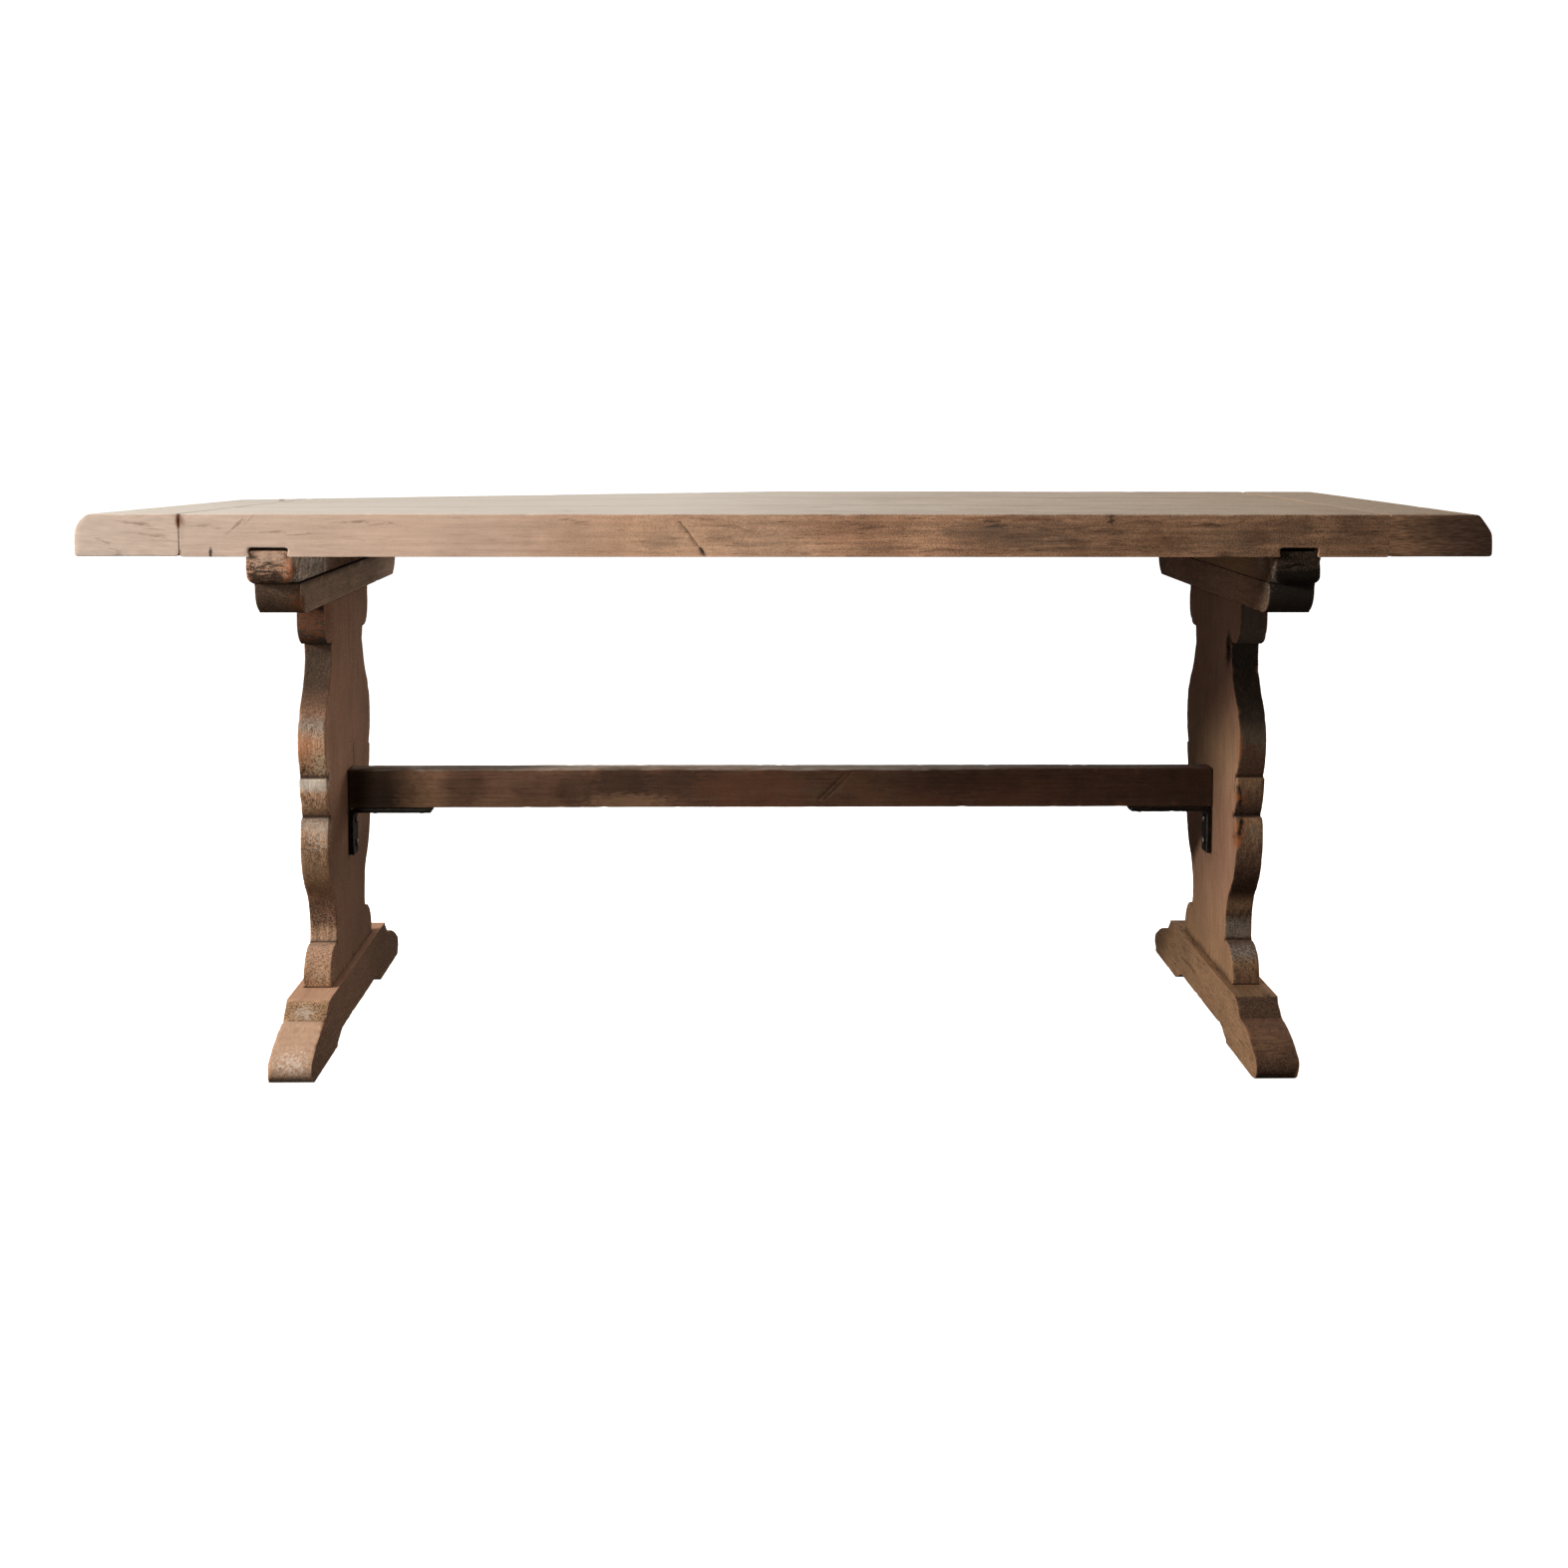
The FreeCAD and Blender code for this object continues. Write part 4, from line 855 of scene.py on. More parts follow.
def post_oak(side):
    """Oak post board. Its broad faces keep an even brown stain. Its shaped edge is worn by turns
    to grey, to bare wood and to whitish paint left in the pores."""
    tints = bpy.context.scene.oak_colours
    low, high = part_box(f"foot_{side}")[1].z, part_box(f"head_rail_{side}")[0].z
    # Heights of the members of the shaped edge, and the thin line between two of them.
    waist, hip, bead, belly, neck, cap = 0.133, 0.204, 0.319, 0.376, 0.486, 0.560
    thin = 0.001
    front = -0.172
    if side == "left":
        broad = [(low, tints.brown, 0.4), (0.24, tints.brown, 0.4), (0.34, tints.stained, 0.4),
                 (high, tints.stained, 0.4)]
        edge = [(low, tints.tan, 0.6), (low + 0.014, tints.bare, 0.8),
                (0.108, tints.bare, 0.6), (waist - thin, tints.pale, 0.5),
                (waist + thin, tints.pale, 0.6), (0.146, tints.bare, 0.7),
                (0.158, tints.brown, 0.8), (0.188, tints.brown, 0.5), (hip, tints.bare, 0.3),
                (hip + 0.012, tints.tan, 0.3), (0.252, tints.tan, 0.5),
                (0.275, tints.tan, 0.8), (0.300, tints.bare, 0.7), (bead - thin, tints.grey, 0.4),
                (bead + thin, tints.brown, 0.3), (bead + 0.010, tints.tan, 0.5),
                (0.338, tints.bare, 0.8), (0.354, tints.bare, 0.7), (0.366, tints.chalk_and_light, 0.4),
                (belly - thin, tints.chalk_and_light, 0.3), (belly + thin, tints.brown, 0.7),
                (0.392, tints.tan, 1.0), (0.426, tints.bare, 0.7), (0.450, tints.grey, 0.5),
                (0.466, tints.brown, 0.3), (0.482, tints.umber, 0.2), (0.500, tints.dark, 0.1),
                (cap - thin, tints.dark, 0.1), (cap + thin, tints.soot, 0.1),
                (high, tints.soot, 0.1)]
        marks = [mark(-0.664, front, 0.416, 26, 50, 40, 0.4, tints.orange, 0, 10, 0.8),
                 mark(-0.640, front, 0.388, 20, 50, 40, 0.7, tints.residue, 0, 4),
                 mark(-0.668, front, 0.388, 14, 50, 22, 0.8, tints.dirt, 0, 4),
                 mark(-0.652, front, 0.368, 40, 50, 16, 0.5, tints.chalk_and_light, 0, 10, 1.4),
                 mark(-0.660, front, 0.344, 20, 50, 16, 0.6, tints.umber, 0, 6),
                 mark(-0.645, front, 0.306, 50, 60, 16, 0.4, tints.chalk_and_light, 0, 8, 1.4),
                 mark(-0.662, front, 0.282, 24, 60, 18, 0.6, tints.umber, 0, 6),
                 mark(-0.645, front, 0.290, 26, 60, 24, 0.4, tints.chalk_and_light, 0, 6),
                 mark(-0.645, -0.125, 0.146, 30, 60, 18, 0.25, tints.residue, 0, 4),
                 mark(-0.646, front, 0.100, 26, 60, 22, 0.5, tints.residue, 0, 4),
                 mark(-0.652, -0.145, 0.600, 50, 60, 60, 0.7, tints.russet, 0, 8, 1.0)]
        return oak("oak_post_worn", 2, 0, broad, edge, 2, pith=(-0.72, 0, 0), flecks=0.3,
                   blush=0.25, blotches=0.25, speckle=0.7, residue=0.6, shake=0.006, gloss=0.12,
                   bump=0.6, fresh=tints.tan, marks=marks)
    broad = [(low, tints.tan, 0.4), (0.23, tints.stained, 0.4), (0.32, tints.stained, 0.4),
             (0.40, tints.honey, 0.4), (0.47, tints.stained, 0.4), (high, tints.stained, 0.4)]
    edge = [(low, tints.brown, 0.5), (0.108, tints.tan, 0.6), (0.122, tints.grey, 0.7),
            (0.128, tints.grey, 0.7), (waist, tints.umber, 0.3), (0.142, tints.grey, 0.7),
            (0.156, tints.grey, 0.7), (0.170, tints.umber, 0.4), (0.186, tints.tan, 0.4),
            (hip, tints.umber, 0.3), (0.235, tints.umber, 0.3), (0.262, tints.brown, 0.5),
            (0.300, tints.tan, 0.7), (bead - thin, tints.tan, 0.5), (bead + thin, tints.dark, 0.3),
            (0.340, tints.brown, 0.5), (belly - thin, tints.tan, 0.5),
            (belly + thin, tints.brown, 0.2), (0.400, tints.smear, 0.4),
            (0.432, tints.smear, 0.2), (0.460, tints.soot, 0.1), (neck, tints.soot, 0.1),
            (cap - thin, tints.soot, 0.1), (cap + thin, tints.smoke, 0.1), (high, tints.smoke, 0.1)]
    marks = [mark(0.655, front, 0.404, 34, 50, 40, 0.5, tints.russet, 0, 8, 1.4),
             mark(0.645, front, 0.345, 20, 50, 14, 0.6, tints.orange, 30, 8),
             mark(0.640, front, 0.300, 14, 50, 34, 0.9, tints.orange, 20, 5),
             mark(0.6385, front, 0.304, 5, 50, 30, 0.95, tints.dirt, 15, 8, 0.6),
             mark(0.637, front, 0.350, 5, 50, 26, 0.95, tints.dirt, -10, 8, 0.6),
             # Painted shade: a black patch inside the slot in the right post's inner face.
             mark(0.632, -0.101, 0.550, 30, 20, 33, 0.95, tints.black, 0, 24, 0.4),
             mark(0.660, front, 0.300, 20, 50, 20, 0.5, tints.grey, 0, 5),
             mark(0.652, -0.122, 0.144, 40, 60, 18, 0.6, tints.grey, 0, 12)]
    return oak("oak_post_dark", 2, 0, broad, edge, 2, pith=(0.72, 0, 0), flecks=0.3,
               blush=0.15, blotches=0.25, speckle=0.6, residue=0.4, shake=0.01, gloss=0.08,
               bump=0.6, marks=marks)


def foot_oak(side):
    """Oak foot. The left one is rubbed pale on top and speckled with old paint at its tip, and
    the right one keeps a brown toe."""
    tints = bpy.context.scene.oak_colours
    shoulder, crease = 0.222, 0.250  # distances from the middle where the instep starts and ends
    if side == "left":
        broad = [(0.0, tints.brown, 0.4), (0.35, tints.umber, 0.4)]
        edge = [(0.0, tints.trodden), (shoulder, tints.trodden),
                (shoulder + 0.004, tints.tan, 0.8), (crease, tints.tan, 0.7),
                (crease + 0.003, tints.pale, 0.1), (0.300, tints.pale),
                (0.335, tints.pale, 0.2), (0.349, tints.pale, 0.5)]
        marks = [mark(-0.654, -0.238, 0.066, 20, 24, 14, 0.6, tints.chalk_and_light, 0, 6, 1.2),
                 mark(-0.652, -0.335, 0.026, 30, 40, 26, 0.6, tints.limed_and_highlight, 0, 4),
                 mark(-0.670, -0.345, 0.010, 40, 40, 16, 0.5, tints.bare, 0, 6),
                 mark(-0.650, -0.348, 0.001, 80, 40, 6, 0.6, tints.umber, 0, 6)]
        return oak("oak_foot_rubbed", 1, 0, broad, edge, 1, pith=(-0.65, 0, -0.05), flecks=0.15,
                   blush=0.2, blotches=0.1, speckle=0.8, residue=0.6, shake=0.008, gloss=0.12,
                   bump=0.5, marks=marks)
    broad = [(0.0, tints.tan, 0.6), (0.35, tints.tan, 0.6)]
    edge = [(0.0, tints.tan, 0.5), (shoulder - 0.004, tints.tan, 0.5),
            (shoulder + 0.002, tints.umber, 0.5), (crease, tints.umber, 0.4),
            (crease + 0.003, tints.brown, 0.2), (0.300, tints.brown, 0.3),
            (0.330, tints.umber, 0.4), (0.349, tints.umber, 0.5)]
    marks = [mark(0.648, -0.310, 0.044, 40, 50, 24, 0.4, tints.tan, 0, 20)]
    return oak("oak_foot_brown", 1, 0, broad, edge, 1, pith=(0.65, 0, -0.05), flecks=0.4,
               blush=0.3, blotches=0.3, speckle=0.6, residue=0.3, shake=0.004, gloss=0.10,
               bump=0.5, marks=marks)


def stretcher_oak():
    """Oak rail with old reddish stain, dark beside the right post, rubbed in patches. Its left end
    is darkened by a painted shadow of the left post, and its top face is whitish with dust and with
    painted light."""
    tints = bpy.context.scene.oak_colours
    # At the left end, beside the post, the umber is painted shadow of the left post.
    broad = [(-0.632, tints.umber, 0.2), (-0.575, tints.umber, 0.2), (-0.530, tints.bare, 0.3),
             (-0.47, tints.stained, 0.3), (-0.40, tints.stained, 0.3), (-0.33, tints.brown, 0.3),
             (-0.24, tints.umber, 0.3), (-0.10, tints.maroon, 0.3), (0.15, tints.umber, 0.3),
             (0.25, tints.maroon, 0.3), (0.50, tints.maroon, 0.2), (0.632, tints.dark, 0.1)]
    edge = [(-0.632, tints.umber, 0.2), (-0.45, tints.tan, 0.2), (0.15, tints.tan, 0.2),
            (0.30, tints.brown, 0.2), (0.632, tints.umber, 0.2)]
    front, top = -0.019, 0.367
    # Pale top face: dust, and painted light where the top face catches light from above. The small
    # limed patch at -0.533 is a painted highlight.
    marks = [mark(-0.470, 0.0, top, 340, 70, 7, 0.95, tints.chalk_and_light, 0, 40, 0.5),
             mark(-0.533, 0.0, top, 24, 70, 7, 0.9, tints.limed_and_highlight, 0, 24, 0.6),
             mark(-0.200, 0.0, top, 240, 70, 6, 0.5, tints.chalk_and_light, 0, 40, 0.6),
             mark(0.100, 0.0, top, 360, 70, 7, 0.95, tints.chalk_and_light, 0, 40, 0.5),
             # Painted shadow of the left post on the left end of the front face.
             mark(-0.585, front, 0.336, 90, 30, 90, 0.6, tints.black, 0, 12, 0.4),
             mark(-0.465, front, 0.336, 44, 30, 56, 0.4, tints.dirt, 0, 14, 0.4),
             mark(-0.360, front, 0.338, 60, 30, 40, 0.25, tints.dirt, 0, 16, 0.4),
             mark(-0.300, front, 0.336, 44, 30, 46, 0.5, tints.dirt, 0, 16, 0.4),
             mark(-0.236, front, 0.345, 60, 30, 60, 0.65, tints.dirt, 0, 16, 0.4),
             mark(-0.160, front, 0.345, 66, 30, 40, 0.4, tints.dirt, -20, 16, 0.4),
             mark(-0.520, front, 0.318, 56, 30, 24, 0.35, tints.tan, 0, 14, 0.8),
             mark(-0.400, front, 0.314, 90, 30, 16, 0.4, tints.tan, 0, 14, 0.8),
             mark(-0.225, front, 0.316, 90, 30, 18, 0.35, tints.tan, 0, 14, 0.8),
             mark(-0.050, front, 0.335, 120, 30, 44, 0.4, tints.russet, 0, 20, 0.8),
             mark(0.340, front, 0.330, 120, 30, 40, 0.3, tints.russet, 0, 20, 0.8),
             mark(0.250, front, 0.345, 160, 30, 30, 0.4, tints.dirt, 0, 30, 0.8)]
    return oak("oak_stretcher_stained", 0, 1, broad, edge, 0, pith=(0, 0.1, 0.2), calm=0.9,
               patch_size=36.0, patch_depth=0.22, flecks=0.35, blush=0.4, blotches=0.2,
               speckle=0.35, residue=0.15, rubbed=0.12, gloss=0.15, bump=0.4, marks=marks)


def peg_oak():
    """Riven oak pegs, splines and dowels, left raw and darkened by handling. The eye would see
    plain brown wood with close rings."""
    tints = bpy.context.scene.oak_colours
    tone = [(0.0, tints.brown), (1.0, tints.brown)]
    return oak("oak_peg_riven", 0, 0, tone, tone, 0, ring_width=2.0, gloss=0.12)


def black_steel():
    """Hot rolled steel strip with its mill scale. The eye sees near black metal with a dull
    sheen, thin bright arrises and a little rust."""
    material, tree = new_material("steel_hot_rolled_black")
    tints = bpy.context.scene.steel_colours
    spot = add(tree, "TexCoord").outputs["Object"]
    blotches = add(tree, "TexNoise", {"Vector": spot, "Scale": 1 / (12 * MM), "Detail": 5.0,
                                      "Roughness": 0.6}).outputs["Fac"]
    grains = add(tree, "TexNoise", {"Vector": spot, "Scale": 1 / (1.5 * MM),
                                    "Detail": 3.0}).outputs["Fac"]
    rusty = add(tree, "MapRange", {"Value": blotches, "From Min": 0.56, "From Max": 0.72,
                                   "To Max": 0.6}).outputs[0]
    body = add(tree, "Mix", {FACTOR: rusty, FIRST: (*tints.scale, 1.0), SECOND: (*tints.rust, 1.0)},
               data_type="RGBA").outputs[MIXED]
    arris = add(tree, "Attribute", attribute_name="arris").outputs["Fac"]
    bright = add(tree, "Math", {0: arris, 1: grains}, operation="MULTIPLY").outputs[0]
    bright = add(tree, "MapRange", {"Value": bright, "From Min": 0.3, "From Max": 0.8,
                                    "To Max": 0.7}).outputs[0]
    body = add(tree, "Mix", {FACTOR: bright, FIRST: body, SECOND: (*tints.rubbed, 1.0)},
               data_type="RGBA").outputs[MIXED]
    dullness = add(tree, "MapRange", {"Value": blotches, "From Min": 0.3, "From Max": 0.7,
                                      "To Min": 0.38, "To Max": 0.62}).outputs[0]
    raised = add(tree, "Bump", {"Strength": 0.3, "Distance": 0.2 * MM, "Height": grains})
    surface = add(tree, "BsdfPrincipled", {"Base Color": body, "Roughness": dullness,
                                           "Metallic": 0.75, "Normal": raised.outputs[0]})
    add(tree, "OutputMaterial", {"Surface": surface.outputs[0]})
    return material


def tarnished_steel():
    """Turned steel screws, tarnished, with dirt in the slots. The eye sees dull grey heads with
    brown rust in patches."""
    material, tree = new_material("steel_screw_tarnished")
    tints = bpy.context.scene.steel_colours
    spot = add(tree, "TexCoord").outputs["Object"]
    blotches = add(tree, "TexNoise", {"Vector": spot, "Scale": 1 / (4 * MM),
                                      "Detail": 4.0}).outputs["Fac"]
    share = add(tree, "MapRange", {"Value": blotches, "From Min": 0.4, "From Max": 0.65}).outputs[0]
    body = add(tree, "Mix", {FACTOR: share, FIRST: (*tints.rubbed, 1.0),
                             SECOND: (*tints.rust, 1.0)}, data_type="RGBA").outputs[MIXED]
    grime_and_shade = add(tree, "Attribute", attribute_name="grime_and_shade").outputs["Fac"]
    body = add(tree, "Mix", {FACTOR: grime_and_shade, FIRST: body, SECOND: (*tints.scale, 1.0)},
               data_type="RGBA").outputs[MIXED]
    surface = add(tree, "BsdfPrincipled", {"Base Color": body, "Roughness": 0.45, "Metallic": 1.0})
    add(tree, "OutputMaterial", {"Surface": surface.outputs[0]})
    return material


# ---------------------------------------------------------------- pieces

def thin_at_back(places):
    """Take the wind of the top out of its thickness: the back left corner is the thinnest."""
    drop = bpy.context.scene.table_wear.back_drop
    leftward = np.clip(-places[:, 0] / TOP_END, 0, 1)
    backward = np.clip((places[:, 1] - TOP_FRONT) / (TOP_BACK - TOP_FRONT), 0, 1)
    upward = np.clip((places[:, 2] - TOP_LOW) / (TOP_HIGH - TOP_LOW), 0, 1)
    lowered = places.copy()
    lowered[:, 2] -= drop * leftward * backward * upward
    return lowered


class TRESTLE_OT_planks(bpy.types.Operator):
    """Build the three sanded planks of the top"""

    bl_idname = "trestle.planks"
    bl_label = "Top planks"

    def execute(self, context):
        material = sanded_plank_oak()
        corners = face_outline("top_plank_front", 1, -1)
        ends = [(0, -PLANK_END), (0, PLANK_END)]
        front_cracks = [
            crack(0, [(-0.139, 0.748), (-0.127, 0.734), (-0.112, 0.713)], 0.8, 0.4),
            crack(0, [(-0.113, 0.714), (-0.108, 0.708), (-0.1050, 0.7030)], 2.2, 2.0, 0.3),
            crack(0, [(0.246, 0.7445), (0.262, 0.7450), (0.274, 0.7438)], 1.5, 1.0),
            crack(0, [(0.405, 0.7525), (0.4065, 0.744)], 2.4, 3.0),
        ]
        front_chips = [
            chip(0, (-PLANK_END, 0.746), 6, 2.0, 0.8),
            chip(0, (0.407, TOP_HIGH), 4, 2.5, 0.3),
            chip(0, (0.500, TOP_HIGH), 12, 2.0),
            chip(0, (0.250, TOP_HIGH), 22, 1.6),
            chip(0, (0.560, TOP_LOW), 12, 3.0),
        ]
        for name in PLANKS:
            low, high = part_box(f"top_plank_{name}")
            seats = ends + [(2, TOP_LOW)]
            if name != "front":
                seats.append((1, low.y))
            if name != "back":
                seats.append((1, high.y))
            is_front = name == "front"
            mesh = worn_board(f"sanded_plank_{name}", corners, 1, low.y, high.y, 0, seats=seats,
                              chips=front_chips if is_front else (),
                              cracks=front_cracks if is_front else (),
                              grimy=[(1, y, 0.4) for axis, y in seats if axis == 1],
                              step=(4 if is_front else 7) * MM, row_step=11 * MM,
                              face_step=6 * MM, chip_count=14, dents=60, hollow_dirt_and_shade=0.0,
                              reshape=thin_at_back)
            dress(mesh, material, "oak_top", f"top_plank_{name}")
        return {"FINISHED"}


def crowned(corners, side, crown):
    """Outline of an end board with its bevel worn to a curve."""
    least, pieces = 5 * MM, 6
    bevel = [i for i, (x, z) in enumerate(corners)
             if abs(x - corners[i - 1][0]) > least and abs(z - corners[i - 1][1]) > least]
    if len(bevel) != 1:
        raise RuntimeError(f"an end board should have one bevel, and has {len(bevel)}")
    index = bevel[0]
    start, end = Vector(corners[index - 1]), Vector(corners[index])
    out = Vector((side, 1.0)).normalized()
    curve = [tuple(start.lerp(end, k / pieces) + out * crown * math.sin(math.pi * k / pieces))
             for k in range(1, pieces)]
    return corners[:index] + curve + corners[index:]


class TRESTLE_OT_end_boards(bpy.types.Operator):
    """Build the cross boards at the ends of the top"""

    bl_idname = "trestle.end_boards"
    bl_label = "End boards"

    def execute(self, context):
        wear = context.scene.table_wear
        material = sanded_end_board_oak()
        for name, side in SIDES.items():
            corners = face_outline(f"end_board_{name}", 1, -1)
            joint = side * PLANK_END
            chips = []
            if name == "left":
                corners = crowned(corners, side, wear.end_crown)
                corners = [(x - wear.joint_gap if abs(x - joint) < WELD else x, z)
                           for x, z in corners]
                chips = [chip(0, (joint, 0.746), 6, 1.8, 0.7)]
            mesh = worn_board(f"sanded_end_board_{name}", corners, 1, TOP_FRONT, TOP_BACK, 1,
                              seats=[(0, joint)], chips=chips,
                              grimy=[(0, joint, 0.8 if name == "left" else 0.15)],
                              step=4 * MM, row_step=8 * MM, face_step=6 * MM,
                              chip_count=4, reshape=thin_at_back)
            dress(mesh, material, "oak_end_board", f"end_board_{name}")
        return {"FINISHED"}


END_CURVE, END_CORNER = 13 * MM, 12 * MM  # roundings under a batten's ends and of their corners
CORNER_START, CORNER_RUN = 0.370, 0.012  # where the corners start, and the length they grow over


class TRESTLE_OT_battens(bpy.types.Operator):
    """Build the dovetailed battens under the top"""

    bl_idname = "trestle.battens"
    bl_label = "Battens"

    def execute(self, context):
        for name in SIDES:
            node = f"batten_{name}"
            low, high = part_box(node)
            spots = [vert.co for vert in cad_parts[node].data.vertices]
            mouths = [spot.x for spot in spots if abs(spot.z - TOP_LOW) < WELD
                      and low.x + WELD < spot.x < high.x - WELD]
            tops = [spot.x for spot in spots if abs(spot.z - high.z) < WELD]
            section = [(low.x, low.z), (high.x, low.z), (high.x, TOP_LOW), (max(mouths), TOP_LOW),
                       (max(tops), high.z), (min(tops), high.z), (min(mouths), TOP_LOW),
                       (low.x, TOP_LOW)]

            def round_ends(places, low=low, high=high):
                below = np.clip(low.z + END_CURVE - places[:, 2], 0, END_CURVE)
                setback = END_CURVE - np.sqrt(END_CURVE ** 2 - below ** 2)
                rounded = places.copy()
                rounded[:, 1] *= 1 - setback / high.y
                outward = np.clip((abs(places[:, 1]) - CORNER_START) / CORNER_RUN, 0, 1)
                corner = END_CORNER * outward
                below = np.clip(low.z + corner - places[:, 2], 0, corner)
                setback = corner - np.sqrt(corner ** 2 - below ** 2)
                middle = (low.x + high.x) / 2
                rounded[:, 0] = middle + (places[:, 0] - middle) * (1 - setback / (high.x - middle))
                return rounded

            cracks = [crack(0, [(low.x + 0.012, 0.684), (low.x + 0.030, 0.690),
                                (low.x + 0.046, 0.688)], 1.0, 1.5)]
            mesh = worn_board(f"worn_batten_{name}", section, 1, low.y, high.y, 1,
                              seats=[(2, low.z), (2, TOP_LOW)], cracks=cracks,
                              grimy=[(2, low.z, 1.0 if name == "left" else 0.1),
                                     (2, TOP_LOW, 1.0)],
                              step=3 * MM, row_step=5 * MM, face_step=4 * MM, dents=80,
                              chip_count=16, reshape=round_ends)
            dress(mesh, batten_oak(name), "oak_batten", node)
        return {"FINISHED"}


class TRESTLE_OT_head_rails(bpy.types.Operator):
    """Build the head rails on top of the posts"""

    bl_idname = "trestle.head_rails"
    bl_label = "Head rails"

    def execute(self, context):
        for name in SIDES:
            node = f"head_rail_{name}"
            low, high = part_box(node)
            if name == "left":
                chips = [chip(1, (low.y + 0.004, 0.634), 13, 7, 0.5)]
            else:
                chips = [chip(0, (y, low.z), 9, 4) for y in (-0.31, -0.27, -0.23)]
            mesh = worn_board(f"worn_head_rail_{name}", face_outline(node, 0, 1), 0,
                              low.x, high.x, 1, seats=[(2, low.z), (2, high.z)], chips=chips,
                              grimy=[(2, high.z, 1.0 if name == "left" else 0.1)], dents=50)
            dress(mesh, head_rail_oak(name), "oak_trestle", node)
        return {"FINISHED"}


class TRESTLE_OT_posts(bpy.types.Operator):
    """Build the vase-shaped post boards"""

    bl_idname = "trestle.posts"
    bl_label = "Posts"

    def execute(self, context):
        for name in SIDES:
            node = f"post_{name}"
            low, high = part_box(node)
            foot_top, head_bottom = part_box(f"foot_{name}")[1].z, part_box(f"head_rail_{name}")[0].z
            if name == "left":
                cracks = [crack(1, [(0.033, 0.400), (0.031, 0.380), (0.030, 0.360)], 1.6, 2.0)]
                chips = [chip(1, (-0.167, 0.340), 7, 2.5)]
            else:
                cracks = [
                    # This wide crack is the slot in the right post's inner face; the dark colour
                    # along its middle is painted shade.
                    crack(0, [(-0.096, 0.567), (-0.098, 0.550), (-0.099, 0.534)], 14.0, 8.0, 0.3),
                    crack(0, [(-0.150, 0.362), (-0.156, 0.346), (-0.159, 0.332)], 3.0, 3.0),
                    crack(0, [(-0.146, 0.312), (-0.151, 0.296), (-0.158, 0.280)], 3.0, 3.0)]
                chips = [chip(0, (-0.165, 0.345), 7, 4, 0.8), chip(0, (-0.158, 0.306), 7, 6, 0.9),
                         chip(0, (-0.164, 0.285), 9, 5, 0.8), chip(0, (-0.172, 0.420), 26, 3, 0.5)]
            mesh = worn_board(f"worn_post_{name}", face_outline(node, 0, 1), 0, low.x, high.x, 2,
                              seats=[(2, foot_top), (2, head_bottom)], chips=chips,
                              cracks=cracks, grimy=[(2, foot_top, 1.0), (2, head_bottom, 1.0)],
                              step=2.6 * MM, row_step=3.4 * MM, saw_marks=1.0, dents=120,
                              chip_count=24)
            dress(mesh, post_oak(name), "oak_trestle", node)
        return {"FINISHED"}


class TRESTLE_OT_feet(bpy.types.Operator):
    """Build the stepped feet"""

    bl_idname = "trestle.feet"
    bl_label = "Feet"

    def execute(self, context):
        for name in SIDES:
            node = f"foot_{name}"
            low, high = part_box(node)
            if name == "left":
                chips = [chip(0, (-0.2505, 0.059), 5, 4), chip(1, (-0.2505, 0.059), 5, 5)]
                cracks = []
            else:
                chips = [chip(0, (-0.29, 0.052), 12, 3), chip(1, (low.y, 0.006), 18, 8)]
                cracks = [crack(0, [(0.139, 0.040), (0.090, 0.043), (0.032, 0.042)], 1.6, 2.5)]
            mesh = worn_board(f"worn_foot_{name}", face_outline(node, 0, 1), 0, low.x, high.x, 1,
                              seats=[(2, 0.0), (2, high.z)], chips=chips, cracks=cracks,
                              row_step=4 * MM, dents=90, chip_count=20)
            dress(mesh, foot_oak(name), "oak_trestle", node)
        return {"FINISHED"}


class TRESTLE_OT_stretcher(bpy.types.Operator):
    """Build the stretcher between the posts"""

    bl_idname = "trestle.stretcher"
    bl_label = "Stretcher"

    def execute(self, context):
        low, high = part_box("stretcher")
        corners = face_outline("stretcher", 1, -1)
        reach = max(x for x, z in corners)
        scratches = [crack(0, [(x, 0.3165), (x + 0.020, 0.337), (x + 0.043, 0.360)], 1.2, 0.5, 0.0)
                     for x in (0.052, 0.060)]
        mesh = worn_board("worn_stretcher", corners, 1, low.y, high.y, 0,
                          seats=[(0, -reach), (0, reach)], cracks=scratches, step=4 * MM,
                          row_step=4 * MM, face_step=6 * MM, dents=60, chip_count=16)
        dress(mesh, stretcher_oak(), "oak_stretcher", "stretcher")
        return {"FINISHED"}


STRIP_THICKNESS = 8 * MM
BEND_RADII = (9 * MM, 3 * MM)  # outside and inside


def bent(corners, index, radius):
    """Outline with one square corner turned into a quarter round."""
    pieces = 5
    corner = Vector(corners[index])
    back = (Vector(corners[index - 1]) - corner).normalized()
    ahead = (Vector(corners[(index + 1) % len(corners)]) - corner).normalized()
    centre = corner + (back + ahead) * radius
    angles = [math.pi / 2 * k / pieces for k in range(pieces + 1)]
    curve = [tuple(centre - ahead * radius * math.cos(angle) - back * radius * math.sin(angle))
             for angle in angles]
    return corners[:index] + curve + corners[index + 1:]


